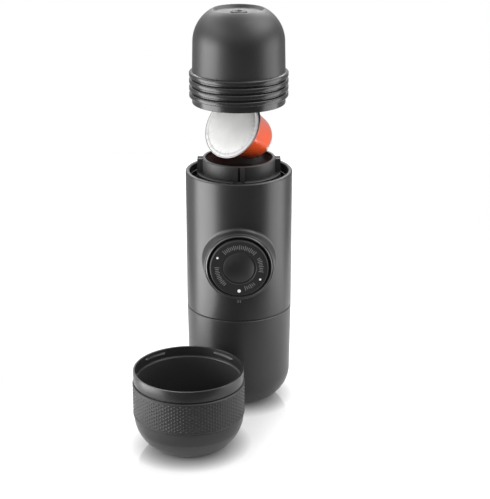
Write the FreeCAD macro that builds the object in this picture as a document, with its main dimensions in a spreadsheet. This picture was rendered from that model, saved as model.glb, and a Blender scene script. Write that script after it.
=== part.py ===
import FreeCAD, Part
import math
import os
import re

import Sketcher

# Handheld manual espresso maker, shown taken apart: the outlet head is unscrewed and lifted,
# a coffee capsule tips into the holder, and the cup stands on the floor beside the water tank.
# Millimetres. The origin is the centre of the tank's foot on the floor, +Z is up and the
# pump knob faces -Y.

SIZES = {
    # main casing
    "body_radius": 29.5,
    "body_height": 79.0,
    "shell_wall": 2.2,
    "rim_round": 0.9,
    "ledge_width": 2.4,
    "ledge_height": 2.4,
    # water tank
    "tank_height": 57.0,
    "tank_corner": 18.0,
    "tank_draft": 0.6,
    "tank_wall": 2.0,
    "neck_height": 8.2,
    "neck_wall": 2.0,
    "seam_gap": 0.3,
    "seam_chamfer": 0.4,
    "haunch_height": 3.0,
    # clearances
    "thread_gap": 0.35,
    "seat_gap": 0.2,
    "running_gap": 0.05,
    "loose_gap": 0.3,
    # tank seal, base plate and suction line
    "seal_height": 1.6,
    "plate_height": 2.6,
    "suction_offset": 17.0,
    "suction_radius": 2.5,
    "suction_bore": 1.6,
    "suction_clear": 1.2,
    "tube_seat": 1.2,
    "strainer_wall": 1.0,
    "strainer_height": 9.0,
    "strainer_slot": 1.0,
    "strainer_cut": 1.6,
    "strainer_cuts": 4,
    # pump
    "knob_height": 91.0,
    "pump_back": 24.0,
    "cylinder_bore": 9.05,
    "cylinder_wall": 1.95,
    "cylinder_floor": 2.5,
    "flange_radius": 16.5,
    "flange_height": 2.5,
    "rod_radius": 7.0,
    "piston_length": 5.0,
    "piston_home": 10.0,
    "pump_stroke": 18.0,
    "stroke_room": 0.5,
    "piston_slack": 0.45,
    "seal_groove": 2.2,
    "seal_wire": 1.0,
    "spigot_radius": 5.0,
    "spigot_length": 4.0,
    "guide_height": 3.5,
    "cradle_width": 13.0,
    "cradle_length": 16.0,
    "spring_radius": 11.0,
    "spring_wire": 1.4,
    "spring_turns": 4.5,
    # knob and its boss
    "boss_radius": 18.9,
    "boss_stand": 4.9,
    "boss_depth": 17.4,
    "boss_draft": 5.0,
    "boss_bore": 17.7,
    "boss_round": 0.8,
    "boss_root": 2.0,
    "sleeve_wall": 1.3,
    "sleeve_recess": 3.4,
    "knob_radius": 15.9,
    "knob_stand": 2.0,
    "knob_wall": 2.0,
    "knob_round": 0.9,
    "knob_face": 7.4,
    "dish_radius": 9.1,
    "dish_height": 4.9,
    "dish_depth": 1.9,
    # valves
    "ball_radius": 2.0,
    "ball_room": 0.3,
    "valve_port": 1.3,
    "valve_radius": 4.5,
    "inlet_floor": 1.2,
    "outlet_floor": 0.8,
    "manifold_radius": 5.5,
    "channel_radius": 1.1,
    "channel_drop": 1.5,
    # capsule holder
    "ring_rise": 7.1,
    "ring_bore": 18.6,
    "ring_wall": 1.6,
    "shoulder_radius": 23.1,
    "shoulder_drop": 0.7,
    "post_width": 6.4,
    "post_depth": 2.7,
    "post_slot": 1.2,
    "post_count": 4,
    "slot_depth": 12.0,
    "holder_flange": 2.8,
    "holder_wall": 2.0,
    "well_lead": 1.7,
    "well_cone": 8.6,
    "well_throat": 15.7,
    "well_radius": 13.1,
    "well_floor": 2.2,
    "needle_plate_height": 1.6,
    "needle_height": 1.4,
    "needle_count": 3,
    "needle_radius": 1.3,
    "needle_circle": 6.5,
    "needle_taper": 24.0,
    # capsule
    "capsule_flange": 18.1,
    "flange_edge": 0.8,
    "foil_height": 0.25,
    "capsule_top": 14.9,
    "capsule_waist": 12.0,
    "capsule_base": 7.6,
    "capsule_depth": 27.5,
    "capsule_wall": 0.6,
    "base_rise": 6.5,
    "capsule_tilt": 60.0,
    "capsule_azimuth": 40.0,
    "capsule_forward": 5.0,
    "capsule_lift": 18.0,
    # outlet head
    "head_lift": 48.0,
    "head_insert": 10.0,
    "head_height": 51.0,
    "head_wall": 1.8,
    "bead_gap": 0.4,
    "bead_stand": 1.5,
    "dome_step": 0.5,
    "lip_height": 3.0,
    "bead_pitch": 3.6,
    "bead_foot": 3.0,
    "bead_crest": 1.1,
    "bead_count": 4,
    "dome_round": 20.0,
    "recess_radius": 13.8,
    "recess_depth": 3.4,
    "recess_floor": 12.2,
    "nozzle_radius": 4.4,
    "nozzle_bore": 1.6,
    "nozzle_length": 9.0,
    "nozzle_sink": 1.4,
    "nozzle_lead": 0.6,
    "gasket_height": 1.8,
    "gasket_bore": 16.6,
    "plate_hole": 0.8,
    "plate_holes": 12,
    "hole_circle": 9.0,
    "extraction_height": 1.8,
    "funnel_wall": 1.4,
    # cup
    "cup_radius": 29.5,
    "cup_height": 44.3,
    "cup_wall": 2.0,
    "cup_foot": 16.5,
    "bowl_height": 19.2,
    "bowl_round": 20.5,
    "grip_height": 18.2,
    "grip_stand": 0.5,
    "grip_seat": 1.0,
    "groove_height": 0.7,
    "groove_depth": 0.6,
    "cup_step": 5.5,
    "cup_left": 27.1,
    "cup_front": 62.9,
}

# Places worked out from the sizes, each written once.
PLACES = {
    "rim_height": "tank_height + body_height",
    "body_bore": "body_radius - shell_wall",
    "tank_radius": "body_radius - tank_draft",
    "foot_radius": "tank_radius - tank_corner",
    "skirt_bore": "body_bore - seat_gap",
    "neck_radius": "skirt_bore - thread_gap",
    "neck_bore": "neck_radius - neck_wall",
    "neck_top": "tank_height + neck_height",
    "deck_bottom": "neck_top + seal_height + 2 * seat_gap",
    "deck_top": "deck_bottom + plate_height",
    "deck_ledge": "deck_top + seat_gap",
    "slot_floor": "rim_height - slot_depth",
    "ledge_top": "slot_floor - holder_flange",
    "cylinder_radius": "cylinder_bore + cylinder_wall",
    "cylinder_top": "knob_height + cylinder_radius",
    "strainer_radius": "suction_radius + running_gap + strainer_wall",
    "strainer_reach": "suction_offset + strainer_radius - foot_radius",
    "corner_bore": "tank_corner - tank_wall",
    "floor_there": "tank_corner - sqrt(corner_bore * corner_bore - strainer_reach * strainer_reach)",
    "strainer_foot": "floor_there + suction_clear",
    "tube_bottom": "strainer_foot + 2 * strainer_wall",
    "tube_top": "deck_top + tube_seat",
    "inlet_seat": "tube_top + inlet_floor - valve_port",
    "outlet_seat": "cylinder_top + outlet_floor - valve_port",
    "piston_front": "piston_home + piston_length",
    "cylinder_length": "piston_front + pump_stroke + flange_height + stroke_room",
    "guide_front": "cylinder_length + guide_height",
    "boss_reach": "body_radius + boss_stand",
    "knob_reach": "boss_reach + knob_stand",
    "boss_front": "pump_back + boss_reach",
    "knob_front": "pump_back + knob_reach",
    "knob_back": "guide_front + loose_gap",
    "knob_inside": "knob_front - knob_face",
    "dish_floor": "knob_front - dish_height",
    "rod_front": "dish_floor - seat_gap - spigot_length",
    "ring_top": "rim_height + ring_rise",
    "ring_radius": "ring_bore + ring_wall",
    "shoulder_top": "rim_height - shoulder_drop",
    "flange_seat": "ring_top + seat_gap",
    "capsule_bottom": "flange_seat - capsule_depth",
    "needle_tip": "capsule_bottom - loose_gap",
    "well_bottom": "needle_tip - needle_height - needle_plate_height",
    "holder_bottom": "well_bottom - well_floor",
    "holder_waist": "well_radius + holder_wall",
    "capsule_height": "flange_edge + foil_height",
    "gasket_base": "head_insert + ring_rise + capsule_height + 2 * seat_gap",
    "plate_base": "gasket_base + gasket_height + seat_gap",
    "plate_top": "plate_base + extraction_height",
    "bead_radius": "body_bore - bead_gap",
    "lip_radius": "bead_radius - bead_stand",
    "dome_radius": "lip_radius - dome_step",
    "mouth_radius": "lip_radius - head_wall",
    "dome_centre": "dome_radius - dome_round",
    "head_rest": "rim_height - head_insert + head_lift",
    "recess_base": "head_height - recess_depth",
    "cup_bore": "cup_radius - cup_wall",
    "grip_radius": "cup_radius + grip_stand",
    "grip_top": "bowl_height + grip_height",
}

# Two lengths this near are taken as equal.
SAME = 0.01

doc = FreeCAD.newDocument("espresso_maker")
pieces = []


def make_sheet():
    """The driving dimensions, one named cell each."""
    sheet = doc.addObject("Spreadsheet::Sheet", "dims")
    for row, (name, size) in enumerate(SIZES.items(), start=1):
        sheet.set(f"A{row}", name)
        sheet.set(f"B{row}", str(size))
        sheet.setAlias(f"B{row}", name)
    doc.recompute()
    return sheet


dims = make_sheet()


def bound(text):
    """An expression on the sheet, with each worked-out place written in full."""

    def spell(match):
        word = match.group(0)
        return f"({bound(PLACES[word])})" if word in PLACES else f"dims.{word}"

    return re.sub(r"[a-z]+(?:_[a-z]+)+", spell, text)


def value(text):
    """The number that an expression comes to now."""
    result = dims.evalExpression(bound(text))
    return float(getattr(result, "Value", result))


def keep(piece, label):
    """Names a finished sub-part and lists it for writing."""
    piece.Label = label
    pieces.append(piece)
    return piece


def place(piece, x="0", y="0", z="0", axis=None, angle=0.0):
    """Puts a sub-part at x, y, z, turned by angle degrees about axis."""
    turn = FreeCAD.Rotation(FreeCAD.Vector(*axis), angle) if axis else FreeCAD.Rotation()
    spot = FreeCAD.Vector(value(x), value(y), value(z))
    piece.Placement = FreeCAD.Placement(spot, turn)
    for side, text in zip("xyz", (x, y, z)):
        if text != "0":
            piece.setExpression(f"Placement.Base.{side}", bound(text))


def place_on_pump(piece):
    """Lays a piece that was turned about Z along the pump, from the cylinder's back forwards."""
    place(piece, y="pump_back", z="knob_height", axis=(1, 0, 0), angle=90)


def sketch_on(body, plane, offset=None):
    """A sketch on one of the body's own origin planes, moved along its normal by offset."""
    sketch = body.newObject("Sketcher::SketchObject", "sketch")
    origin = [f for f in body.Origin.OriginFeatures if getattr(f, "Role", "") == plane][0]
    sketch.AttachmentSupport = [(origin, "")]
    sketch.MapMode = "FlatFace"
    if offset:
        sketch.AttachmentOffset = FreeCAD.Placement(
            FreeCAD.Vector(0, 0, value(offset)), FreeCAD.Rotation()
        )
        sketch.setExpression("AttachmentOffset.Base.z", bound(offset))
    return sketch


def bind(sketch, constraint, text):
    """Adds a dimension and ties it to the sheet."""
    index = sketch.addConstraint(constraint)
    sketch.setExpression(f"Constraints[{index}]", bound(text))


def bind_point(sketch, edge, end, x, y):
    """Ties the end of an edge to x, y, or to an axis where one of them is 0."""
    for kind, text, axis in (("DistanceX", x, -2), ("DistanceY", y, -1)):
        if text == "0":
            sketch.addConstraint(Sketcher.Constraint("PointOnObject", edge, end, axis))
        else:
            rule = Sketcher.Constraint(kind, -1, 1, edge, end, value(text))
            bind(sketch, rule, text)


def arc_between(start, stop, radius, turn):
    """The arc of under a half turn from start to stop, anticlockwise where turn is 1."""
    chord = stop - start
    height = math.sqrt(max(radius**2 - (chord.Length / 2) ** 2, 0.0))
    side = FreeCAD.Vector(-chord.y, chord.x, 0).normalize() * turn
    centre = (start + stop) * 0.5 + side * height
    first, last = (start, stop) if turn > 0 else (stop, start)
    angles = [math.atan2(p.y - centre.y, p.x - centre.x) for p in (first, last)]
    if angles[1] < angles[0]:
        angles[1] += 2 * math.pi
    circle = Part.Circle(centre, FreeCAD.Vector(0, 0, 1), radius)
    return Part.ArcOfCircle(circle, *angles)


def outline(sketch, corners):
    """Draws a closed outline. A corner is x, y, and radius and turn where an arc leads to it."""
    spots = [FreeCAD.Vector(value(c[0]), value(c[1]), 0) for c in corners]
    ends = []
    for index, corner in enumerate(corners):
        start, stop = spots[index - 1], spots[index]
        if len(corner) == 4:
            edge = sketch.addGeometry(
                arc_between(start, stop, value(corner[2]), corner[3]), False
            )
            ends.append((edge, 1, 2) if corner[3] > 0 else (edge, 2, 1))
            bind(sketch, Sketcher.Constraint("Radius", edge, value(corner[2])), corner[2])
        else:
            edge = sketch.addGeometry(Part.LineSegment(start, stop), False)
            ends.append((edge, 1, 2))
    for (edge, _, last), (after, first, _) in zip(ends, ends[1:] + ends[:1]):
        sketch.addConstraint(Sketcher.Constraint("Coincident", edge, last, after, first))
    for (edge, _, last), corner in zip(ends, corners):
        bind_point(sketch, edge, last, corner[0], corner[1])


def circle(sketch, x, y, radius):
    """Draws a circle tied to the sheet."""
    centre = FreeCAD.Vector(value(x), value(y), 0)
    edge = sketch.addGeometry(
        Part.Circle(centre, FreeCAD.Vector(0, 0, 1), value(radius)), False
    )
    bind_point(sketch, edge, 3, x, y)
    bind(sketch, Sketcher.Constraint("Radius", edge, value(radius)), radius)


def rectangle(left, low, right, high):
    """The corners of an upright rectangle."""
    return [(left, low), (right, low), (right, high), (left, high)]


def turned(label, corners, offset=None, cut_from=None):
    """A body of revolution about the vertical axis, or a groove turned out of cut_from."""
    body = cut_from or keep(doc.addObject("PartDesign::Body", label), label)
    sketch = sketch_on(body, "XZ_Plane", offset)
    outline(sketch, corners)
    kind = "Groove" if cut_from else "Revolution"
    feature = body.newObject(f"PartDesign::{kind}", kind.lower())
    feature.Profile = sketch
    feature.ReferenceAxis = (sketch, ["V_Axis"])
    feature.Angle = 360.0
    sketch.Visibility = False
    return body


def pad(body, sketch, length, back=False, draft=None):
    """Pads a sketch by a bound length, to its back if asked, widening by draft degrees."""
    feature = body.newObject("PartDesign::Pad", "pad")
    feature.Profile = sketch
    feature.Length = value(length)
    feature.setExpression("Length", bound(length))
    feature.Reversed = back
    if draft:
        feature.TaperAngle = value(draft)
        feature.setExpression("TaperAngle", bound(draft))
    return feature


def pocket(body, sketch, length=None, back=False):
    """Pockets a sketch by a bound length, or right through both ways without one."""
    feature = body.newObject("PartDesign::Pocket", "pocket")
    feature.Profile = sketch
    if length:
        feature.Length = value(length)
        feature.setExpression("Length", bound(length))
        feature.Reversed = back
    else:
        feature.Type = "ThroughAll"
        feature.Midplane = True
    return feature


def drill(body, x, y, radius, plane="XY_Plane", offset=None, length=None, back=False):
    """A round hole square to one of the body's planes."""
    sketch = sketch_on(body, plane, offset)
    circle(sketch, x, y, radius)
    return pocket(body, sketch, length, back)


def repeat_round(body, feature, count):
    """Repeats a feature evenly round the body's vertical axis."""
    axis = [f for f in body.Origin.OriginFeatures if getattr(f, "Role", "") == "Z_Axis"][0]
    pattern = body.newObject("PartDesign::PolarPattern", "pattern")
    pattern.Originals = [feature]
    pattern.Axis = (axis, [""])
    pattern.Angle = 360.0
    pattern.Occurrences = round(value(count))
    pattern.setExpression("Occurrences", bound(count))
    body.Tip = pattern
    return pattern


def cylinder(name, radius, height, z="0"):
    """A plain cylinder on the vertical axis."""
    piece = doc.addObject("Part::Cylinder", name)
    piece.setExpression("Radius", bound(radius))
    piece.setExpression("Height", bound(height))
    place(piece, z=z)
    return piece


def cut(label, base, tool):
    """One solid less another."""
    piece = doc.addObject("Part::Cut", label)
    piece.Base, piece.Tool = base, tool
    return keep(piece, label)


# Water tank

def make_tank():
    """The tank: flat foot, large round corner, drafted wall and a neck for the casing's skirt."""
    turned("tank_shell", [
        ("0", "0"),
        ("foot_radius", "0"),
        ("tank_radius", "tank_corner", "tank_corner", 1),
        ("body_radius - running_gap", "tank_height - 0.5 * seam_gap - seam_chamfer"),
        ("body_radius - running_gap - seam_chamfer", "tank_height - 0.5 * seam_gap"),
        ("neck_radius", "tank_height - 0.5 * seam_gap"),
        ("neck_radius", "neck_top - seam_chamfer"),
        ("neck_radius - seam_chamfer", "neck_top"),
        ("neck_bore", "neck_top"),
        ("neck_bore", "tank_height - tank_wall"),
        ("tank_radius - tank_wall", "tank_height - tank_wall - haunch_height"),
        ("tank_radius - tank_wall", "tank_corner"),
        ("foot_radius", "tank_wall", "corner_bore", -1),
        ("0", "tank_wall"),
    ])


def make_tank_seal():
    """The flat ring between the tank's neck and the base plate."""
    outer = cylinder("seal_outside", "neck_radius - seat_gap", "seal_height")
    inner = cylinder("seal_inside", "neck_bore + seat_gap", "seal_height")
    seal = cut("tank_seal", outer, inner)
    place(seal, z="neck_top + seat_gap")


# Main casing

def make_body_shell():
    """The casing: a tube with a skirt over the tank's neck, two ledges and the knob's boss."""
    body = turned("body_shell", [
        ("skirt_bore", "tank_height + 0.5 * seam_gap"),
        ("body_radius - seam_chamfer", "tank_height + 0.5 * seam_gap"),
        ("body_radius", "tank_height + 0.5 * seam_gap + seam_chamfer"),
        ("body_radius", "rim_height - rim_round"),
        ("body_radius - rim_round", "rim_height", "rim_round", 1),
        ("body_bore + seam_chamfer", "rim_height"),
        ("body_bore", "rim_height - seam_chamfer"),
        ("body_bore", "ledge_top"),
        ("body_bore - ledge_width", "ledge_top"),
        ("body_bore - ledge_width", "ledge_top - ledge_height"),
        ("body_bore", "ledge_top - 2 * ledge_height"),
        ("body_bore", "deck_ledge + 2 * ledge_height"),
        ("body_bore - ledge_width", "deck_ledge + ledge_height"),
        ("body_bore - ledge_width", "deck_ledge"),
        ("skirt_bore", "deck_ledge"),
    ])
    face = sketch_on(body, "XZ_Plane", "boss_reach")
    circle(face, "0", "knob_height", "boss_radius")
    pad(body, face, "boss_depth", back=True, draft="boss_draft")
    soften_boss(body)
    drill(body, "0", "knob_height", "boss_bore", "XZ_Plane", "boss_reach", "boss_depth")


def soften_boss(body):
    """Rounds the boss's front edge, then fills the corner where its flank meets the casing."""
    def front_rim(edge):
        """Whether an edge lies in the boss's front face."""
        return edge.BoundBox.YMax < SAME - value("boss_reach")

    def root(edge):
        """Whether an edge is the curve in which the flank meets the casing's wall."""
        curved = not isinstance(edge.Curve, (Part.Circle, Part.Line))
        wall = value("body_radius")
        return curved and all(abs(math.hypot(p.x, p.y) - wall) < SAME for p in edge.discretize(5))

    round_edges(body, "boss_round", front_rim)
    round_edges(body, "boss_root", root)


def round_edges(body, radius, chosen):
    """Adds a fillet on the chosen edges of the body so far."""
    tip = body.Tip
    doc.recompute()
    edges = [f"Edge{n}" for n, edge in enumerate(tip.Shape.Edges, start=1) if chosen(edge)]
    fillet = body.newObject("PartDesign::Fillet", "fillet")
    fillet.Base = (tip, edges)
    fillet.Radius = value(radius)
    fillet.setExpression("Radius", bound(radius))


def make_base_plate():
    """The plate that closes the casing from below, with the suction line's hole."""
    body = turned("base_plate", [
        ("0", "deck_bottom"),
        ("skirt_bore - seat_gap - seam_chamfer", "deck_bottom"),
        ("skirt_bore - seat_gap", "deck_bottom + seam_chamfer"),
        ("skirt_bore - seat_gap", "deck_top"),
        ("0", "deck_top"),
    ])
    drill(body, "0", "suction_offset", "suction_radius + running_gap")


def make_suction_line():
    """The tube down into the tank, with a slotted strainer on its end."""
    outer = cylinder("tube_outside", "suction_radius", "tube_top - tube_bottom")
    inner = cylinder("tube_inside", "suction_bore", "tube_top - tube_bottom")
    tube = cut("suction_tube", outer, inner)
    place(tube, y="suction_offset", z="tube_bottom")

    strainer = turned("suction_strainer", [
        ("0", "0"),
        ("strainer_radius - 0.5 * strainer_wall", "0"),
        ("strainer_radius", "0.5 * strainer_wall"),
        ("strainer_radius", "strainer_height"),
        ("suction_radius + running_gap", "strainer_height"),
        ("suction_radius + running_gap", "2 * strainer_wall"),
        ("suction_bore", "2 * strainer_wall"),
        ("suction_bore", "strainer_wall"),
        ("0", "strainer_wall"),
    ])
    slot = sketch_on(strainer, "XY_Plane")
    outline(slot, rectangle("0 - 0.5 * strainer_slot", "0 - 2 * suction_radius",
                            "0.5 * strainer_slot", "2 * suction_radius"))
    cross = pocket(strainer, slot, "strainer_cut", back=True)
    repeat_round(strainer, cross, "strainer_cuts")
    place(strainer, y="suction_offset", z="strainer_foot")


def make_valve_ball(label, seat):
    """A valve ball just clear of the 45 degree seat whose tip would be at height seat."""
    ball = doc.addObject("Part::Sphere", label)
    ball.setExpression("Radius", bound("ball_radius"))
    keep(ball, label)
    place(ball, y="suction_offset", z=f"{seat} + sqrt(2) * (ball_radius + running_gap)")


def valve_chamber(seat, low, high):
    """The outline of a port, a 45 degree seat and a ball's chamber above it."""
    room = "ball_radius + ball_room"
    return [
        ("0", low),
        ("valve_port", low),
        ("valve_port", f"{seat} + valve_port"),
        (room, f"{seat} + {room}"),
        (room, high),
        ("0", high),
    ]


def make_inlet_valve():
    """The post between base plate and cylinder that holds the inlet ball's seat."""
    body = turned("inlet_valve_seat", rectangle("0", "deck_top", "valve_radius", "knob_height"))
    turned(None, valve_chamber("inlet_seat", "deck_top", "knob_height"), cut_from=body)
    drill(body, "0", "0", "suction_radius + running_gap", offset="deck_top",
          length="tube_seat", back=True)
    drill(body, "0", "knob_height", "cylinder_radius", "XZ_Plane")
    place(body, y="suction_offset")
    make_valve_ball("inlet_ball", "inlet_seat")


def make_pump_cradle():
    """The block on the base plate with a round saddle under the cylinder."""
    block = doc.addObject("Part::Box", "cradle_block")
    block.setExpression("Length", bound("cradle_width"))
    block.setExpression("Width", bound("cradle_length"))
    block.setExpression("Height", bound("knob_height - deck_top - 0.5 * cylinder_radius"))
    place(block, x="0 - 0.5 * cradle_width", y="0 - 0.5 * cradle_length", z="deck_top")
    saddle = cylinder("cradle_saddle", "cylinder_radius", "2 * pump_back")
    place(saddle, y="pump_back", z="knob_height", axis=(1, 0, 0), angle=90)
    cut("pump_cradle", block, saddle)


def make_manifold():
    """The block over the cylinder that leads water through the outlet valve to the holder."""
    body = keep(doc.addObject("PartDesign::Body", "water_manifold"), "water_manifold")
    plan = sketch_on(body, "XY_Plane", "knob_height")
    outline(plan, [
        ("manifold_radius", "suction_offset"),
        ("0", "suction_offset + manifold_radius", "manifold_radius", 1),
        ("0 - manifold_radius", "suction_offset", "manifold_radius", 1),
        ("0 - manifold_radius", "0"),
        ("0", "0 - manifold_radius", "manifold_radius", 1),
        ("manifold_radius", "0", "manifold_radius", 1),
    ])
    pad(body, plan, "holder_bottom - knob_height")
    drill(body, "0", "knob_height", "cylinder_radius", "XZ_Plane")
    roof = "holder_bottom - 2 * channel_radius"
    turned(None, valve_chamber("outlet_seat", "knob_height", roof),
           offset="0 - suction_offset", cut_from=body)
    drill(body, "0", f"{roof} - channel_drop", "channel_radius", "XZ_Plane",
          "0 - suction_offset", "suction_offset", back=True)
    drill(body, "0", "0", "channel_radius", offset=f"{roof} - channel_drop",
          length="4 * channel_radius", back=True)
    make_valve_ball("outlet_ball", "outlet_seat")


# Pump

def make_cylinder():
    """The pump cylinder: closed back, flanged front, and a port above and below."""
    body = turned("pump_cylinder", [
        ("0", "0"),
        ("cylinder_radius - seam_chamfer", "0"),
        ("cylinder_radius", "seam_chamfer"),
        ("cylinder_radius", "cylinder_length - flange_height"),
        ("flange_radius", "cylinder_length - flange_height"),
        ("flange_radius", "cylinder_length"),
        ("cylinder_bore", "cylinder_length"),
        ("cylinder_bore", "cylinder_floor"),
        ("0", "cylinder_floor"),
    ])
    drill(body, "0", "pump_back - suction_offset", "valve_port", "XZ_Plane")
    place_on_pump(body)


def make_guide():
    """The collar that closes the cylinder and guides the piston rod."""
    body = turned("guide_collar", [
        ("rod_radius + running_gap", "cylinder_length - flange_height"),
        ("cylinder_bore - seat_gap", "cylinder_length - flange_height"),
        ("cylinder_bore - seat_gap", "cylinder_length"),
        ("boss_bore - seat_gap", "cylinder_length"),
        ("boss_bore - seat_gap", "guide_front"),
        ("rod_radius + running_gap", "guide_front"),
    ])
    place_on_pump(body)


def make_sleeve():
    """The dark lining of the boss that the knob slides in."""
    inner = "boss_bore - seat_gap - sleeve_wall"
    body = turned("bore_sleeve", [
        (inner, "guide_front"),
        ("boss_bore - seat_gap", "guide_front"),
        ("boss_bore - seat_gap", "boss_front - sleeve_recess"),
        (f"{inner} + seam_chamfer", "boss_front - sleeve_recess"),
        (inner, "boss_front - sleeve_recess - seam_chamfer"),
    ])
    place_on_pump(body)


def make_piston():
    """The piston and its rod, with a groove for the seal and a spigot for the knob."""
    crown = "cylinder_bore - piston_slack"
    groove = "piston_home + 0.5 * (piston_length - seal_groove)"
    body = turned("plunger", [
        ("0", "piston_home"),
        (f"{crown} - seam_chamfer", "piston_home"),
        (crown, "piston_home + seam_chamfer"),
        (crown, groove),
        ("rod_radius", groove),
        ("rod_radius", f"{groove} + seal_groove"),
        (crown, f"{groove} + seal_groove"),
        (crown, "piston_front"),
        ("rod_radius", "piston_front"),
        ("rod_radius", "rod_front"),
        ("spigot_radius", "rod_front"),
        ("spigot_radius", "dish_floor - seat_gap"),
        ("0", "dish_floor - seat_gap"),
    ])
    place_on_pump(body)

    ring = doc.addObject("Part::Torus", "piston_seal")
    ring.setExpression("Radius1", bound("cylinder_bore - running_gap - seal_wire"))
    ring.setExpression("Radius2", bound("seal_wire"))
    keep(ring, "piston_seal")
    place(ring, y="pump_back - piston_home - 0.5 * piston_length", z="knob_height",
          axis=(1, 0, 0), angle=90)


def helix_point(angle, radius, rise):
    """A point of the spring's centre line and its direction there."""
    spot = FreeCAD.Vector(radius * math.cos(angle), radius * math.sin(angle), rise * angle)
    way = FreeCAD.Vector(-radius * math.sin(angle), radius * math.cos(angle), rise)
    return spot, way.normalize()


def biarc(start, way, stop, way_out):
    """Two arcs that leave start along way, meet smoothly and reach stop along way_out."""
    gap, both = stop - start, way + way_out
    bend = 2 * (1 - way.dot(way_out))
    reach = (-gap.dot(both) + math.sqrt(gap.dot(both) ** 2 + bend * gap.dot(gap))) / bend
    first, second = start + way * reach, stop - way_out * reach
    joint = (first + second) * 0.5
    edges = []
    for low, corner, high in ((start, first, joint), (joint, second, stop)):
        middle = (low + high) * 0.5
        half = (high - low).Length / 2
        sag = half * math.tan(math.acos(half / reach) / 2)
        crown = middle + (corner - middle).normalize() * sag
        edges.append(Part.Arc(low, crown, high).toShape())
    return edges


def make_spring():
    """The return spring round the rod, an open coil from quarter turns of smooth arcs."""
    radius, wire = value("spring_radius"), value("spring_wire")
    length = value("knob_inside - guide_front - spring_wire - 2 * seat_gap")
    halves = int(2 * value("spring_turns"))
    rise = length / (halves * math.pi)
    stations = [helix_point(n * math.pi, radius, rise) for n in range(halves + 1)]
    edges = []
    for (spot, way), (after, way_out) in zip(stations, stations[1:]):
        edges += biarc(spot, way, after, way_out)
    spot, way = stations[0]
    ring = Part.Wire([Part.makeCircle(wire / 2, spot, way)])
    spring = doc.addObject("Part::Feature", "piston_spring")
    spring.Shape = Part.Wire(edges).makePipeShell([ring], True, False)
    keep(spring, "piston_spring")
    lift = "pump_back - guide_front - 0.5 * spring_wire - seat_gap"
    place(spring, y=lift, z="knob_height", axis=(1, 0, 0), angle=90)
    print("spring gap to itself", round(2 * math.pi * rise - wire, 2))


def make_knob():
    """The pump knob: a skirted cap with a flat ring face, and the dished disc in its middle."""
    body = turned("knob_cap", [
        ("spigot_radius + running_gap", "rod_front + loose_gap"),
        ("rod_radius + knob_wall", "rod_front + loose_gap"),
        ("rod_radius + knob_wall", "knob_inside"),
        ("knob_radius - knob_wall", "knob_inside"),
        ("knob_radius - knob_wall", "knob_back"),
        ("knob_radius", "knob_back"),
        ("knob_radius", "knob_front - knob_round"),
        ("knob_radius - knob_round", "knob_front", "knob_round", 1),
        ("dish_radius + seam_chamfer", "knob_front"),
        ("dish_radius", "knob_front - seam_chamfer"),
        ("dish_radius", "dish_floor"),
        ("spigot_radius + running_gap", "dish_floor"),
    ])
    place_on_pump(body)
    edge = "dish_radius - running_gap"
    span = "(dish_radius - running_gap - knob_round)"
    hollow = f"({span} * {span} + dish_depth * dish_depth) / (2 * dish_depth)"
    dish = turned("knob_dish", [
        ("0", "dish_floor"),
        (edge, "dish_floor"),
        (edge, "knob_front - seam_chamfer - seat_gap"),
        (f"{edge} - knob_round", "knob_front - seat_gap"),
        ("0", "knob_front - seat_gap - dish_depth", hollow, -1),
    ])
    place_on_pump(dish)


# Capsule holder

def make_holder():
    """The holder: capsule well, ring, shoulder and four slotted posts, flanged to the casing."""
    body = turned("capsule_holder", [
        ("0", "holder_bottom"),
        ("holder_waist", "holder_bottom"),
        ("holder_waist + holder_wall", "ledge_top - ledge_height"),
        ("body_bore - ledge_width - seat_gap", "ledge_top - ledge_height"),
        ("body_bore - ledge_width - seat_gap", "ledge_top"),
        ("body_bore - seat_gap", "ledge_top"),
        ("body_bore - seat_gap", "slot_floor"),
        ("shoulder_radius", "slot_floor"),
        ("shoulder_radius", "shoulder_top - seam_chamfer"),
        ("shoulder_radius - seam_chamfer", "shoulder_top"),
        ("ring_radius", "shoulder_top"),
        ("ring_radius", "ring_top - seam_chamfer"),
        ("ring_radius - seam_chamfer", "ring_top"),
        ("ring_bore", "ring_top"),
        ("ring_bore", "ring_top - well_lead"),
        ("well_throat", "ring_top - well_cone"),
        ("well_radius", "well_bottom + 0.5 * well_cone"),
        ("well_radius", "well_bottom"),
        ("0", "well_bottom"),
    ])
    plan = sketch_on(body, "XY_Plane", "shoulder_top - seam_chamfer")
    inner, outer = "0 - ring_radius + seam_chamfer", "0 - ring_radius - post_depth"
    for near, far in (("0.5 * post_slot", "0.5 * post_width"),
                      ("0 - 0.5 * post_width", "0 - 0.5 * post_slot")):
        outline(plan, rectangle(near, outer, far, inner))
    post = pad(body, plan, "ring_top - shoulder_top")
    repeat_round(body, post, "post_count")
    drill(body, "0", "0", "channel_radius", offset="holder_bottom",
          length="well_floor", back=True)


def make_needle_plate():
    """The plate on the well's floor with three needles that face the capsule's base."""
    body = turned("needle_plate", [
        ("channel_radius", "well_bottom"),
        ("well_radius - seat_gap", "well_bottom"),
        ("well_radius - seat_gap", "well_bottom + needle_plate_height"),
        ("channel_radius", "well_bottom + needle_plate_height"),
    ])
    foot = sketch_on(body, "XY_Plane", "well_bottom + needle_plate_height")
    circle(foot, "0", "needle_circle", "needle_radius")
    needle = pad(body, foot, "needle_height", draft="0 - needle_taper")
    repeat_round(body, needle, "needle_count")


# Coffee capsule

def capsule_pose():
    """Where the tipped capsule's flange centre is, and how it is turned."""
    azimuth = math.radians(value("capsule_azimuth"))
    ahead = FreeCAD.Vector(-math.sin(azimuth), -math.cos(azimuth), 0)
    spot = ahead * value("capsule_forward")
    spot.z = value("ring_top + capsule_lift")
    hinge = FreeCAD.Vector(0, 0, 1).cross(ahead)
    return FreeCAD.Placement(spot, FreeCAD.Rotation(hinge, value("capsule_tilt")))


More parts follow.
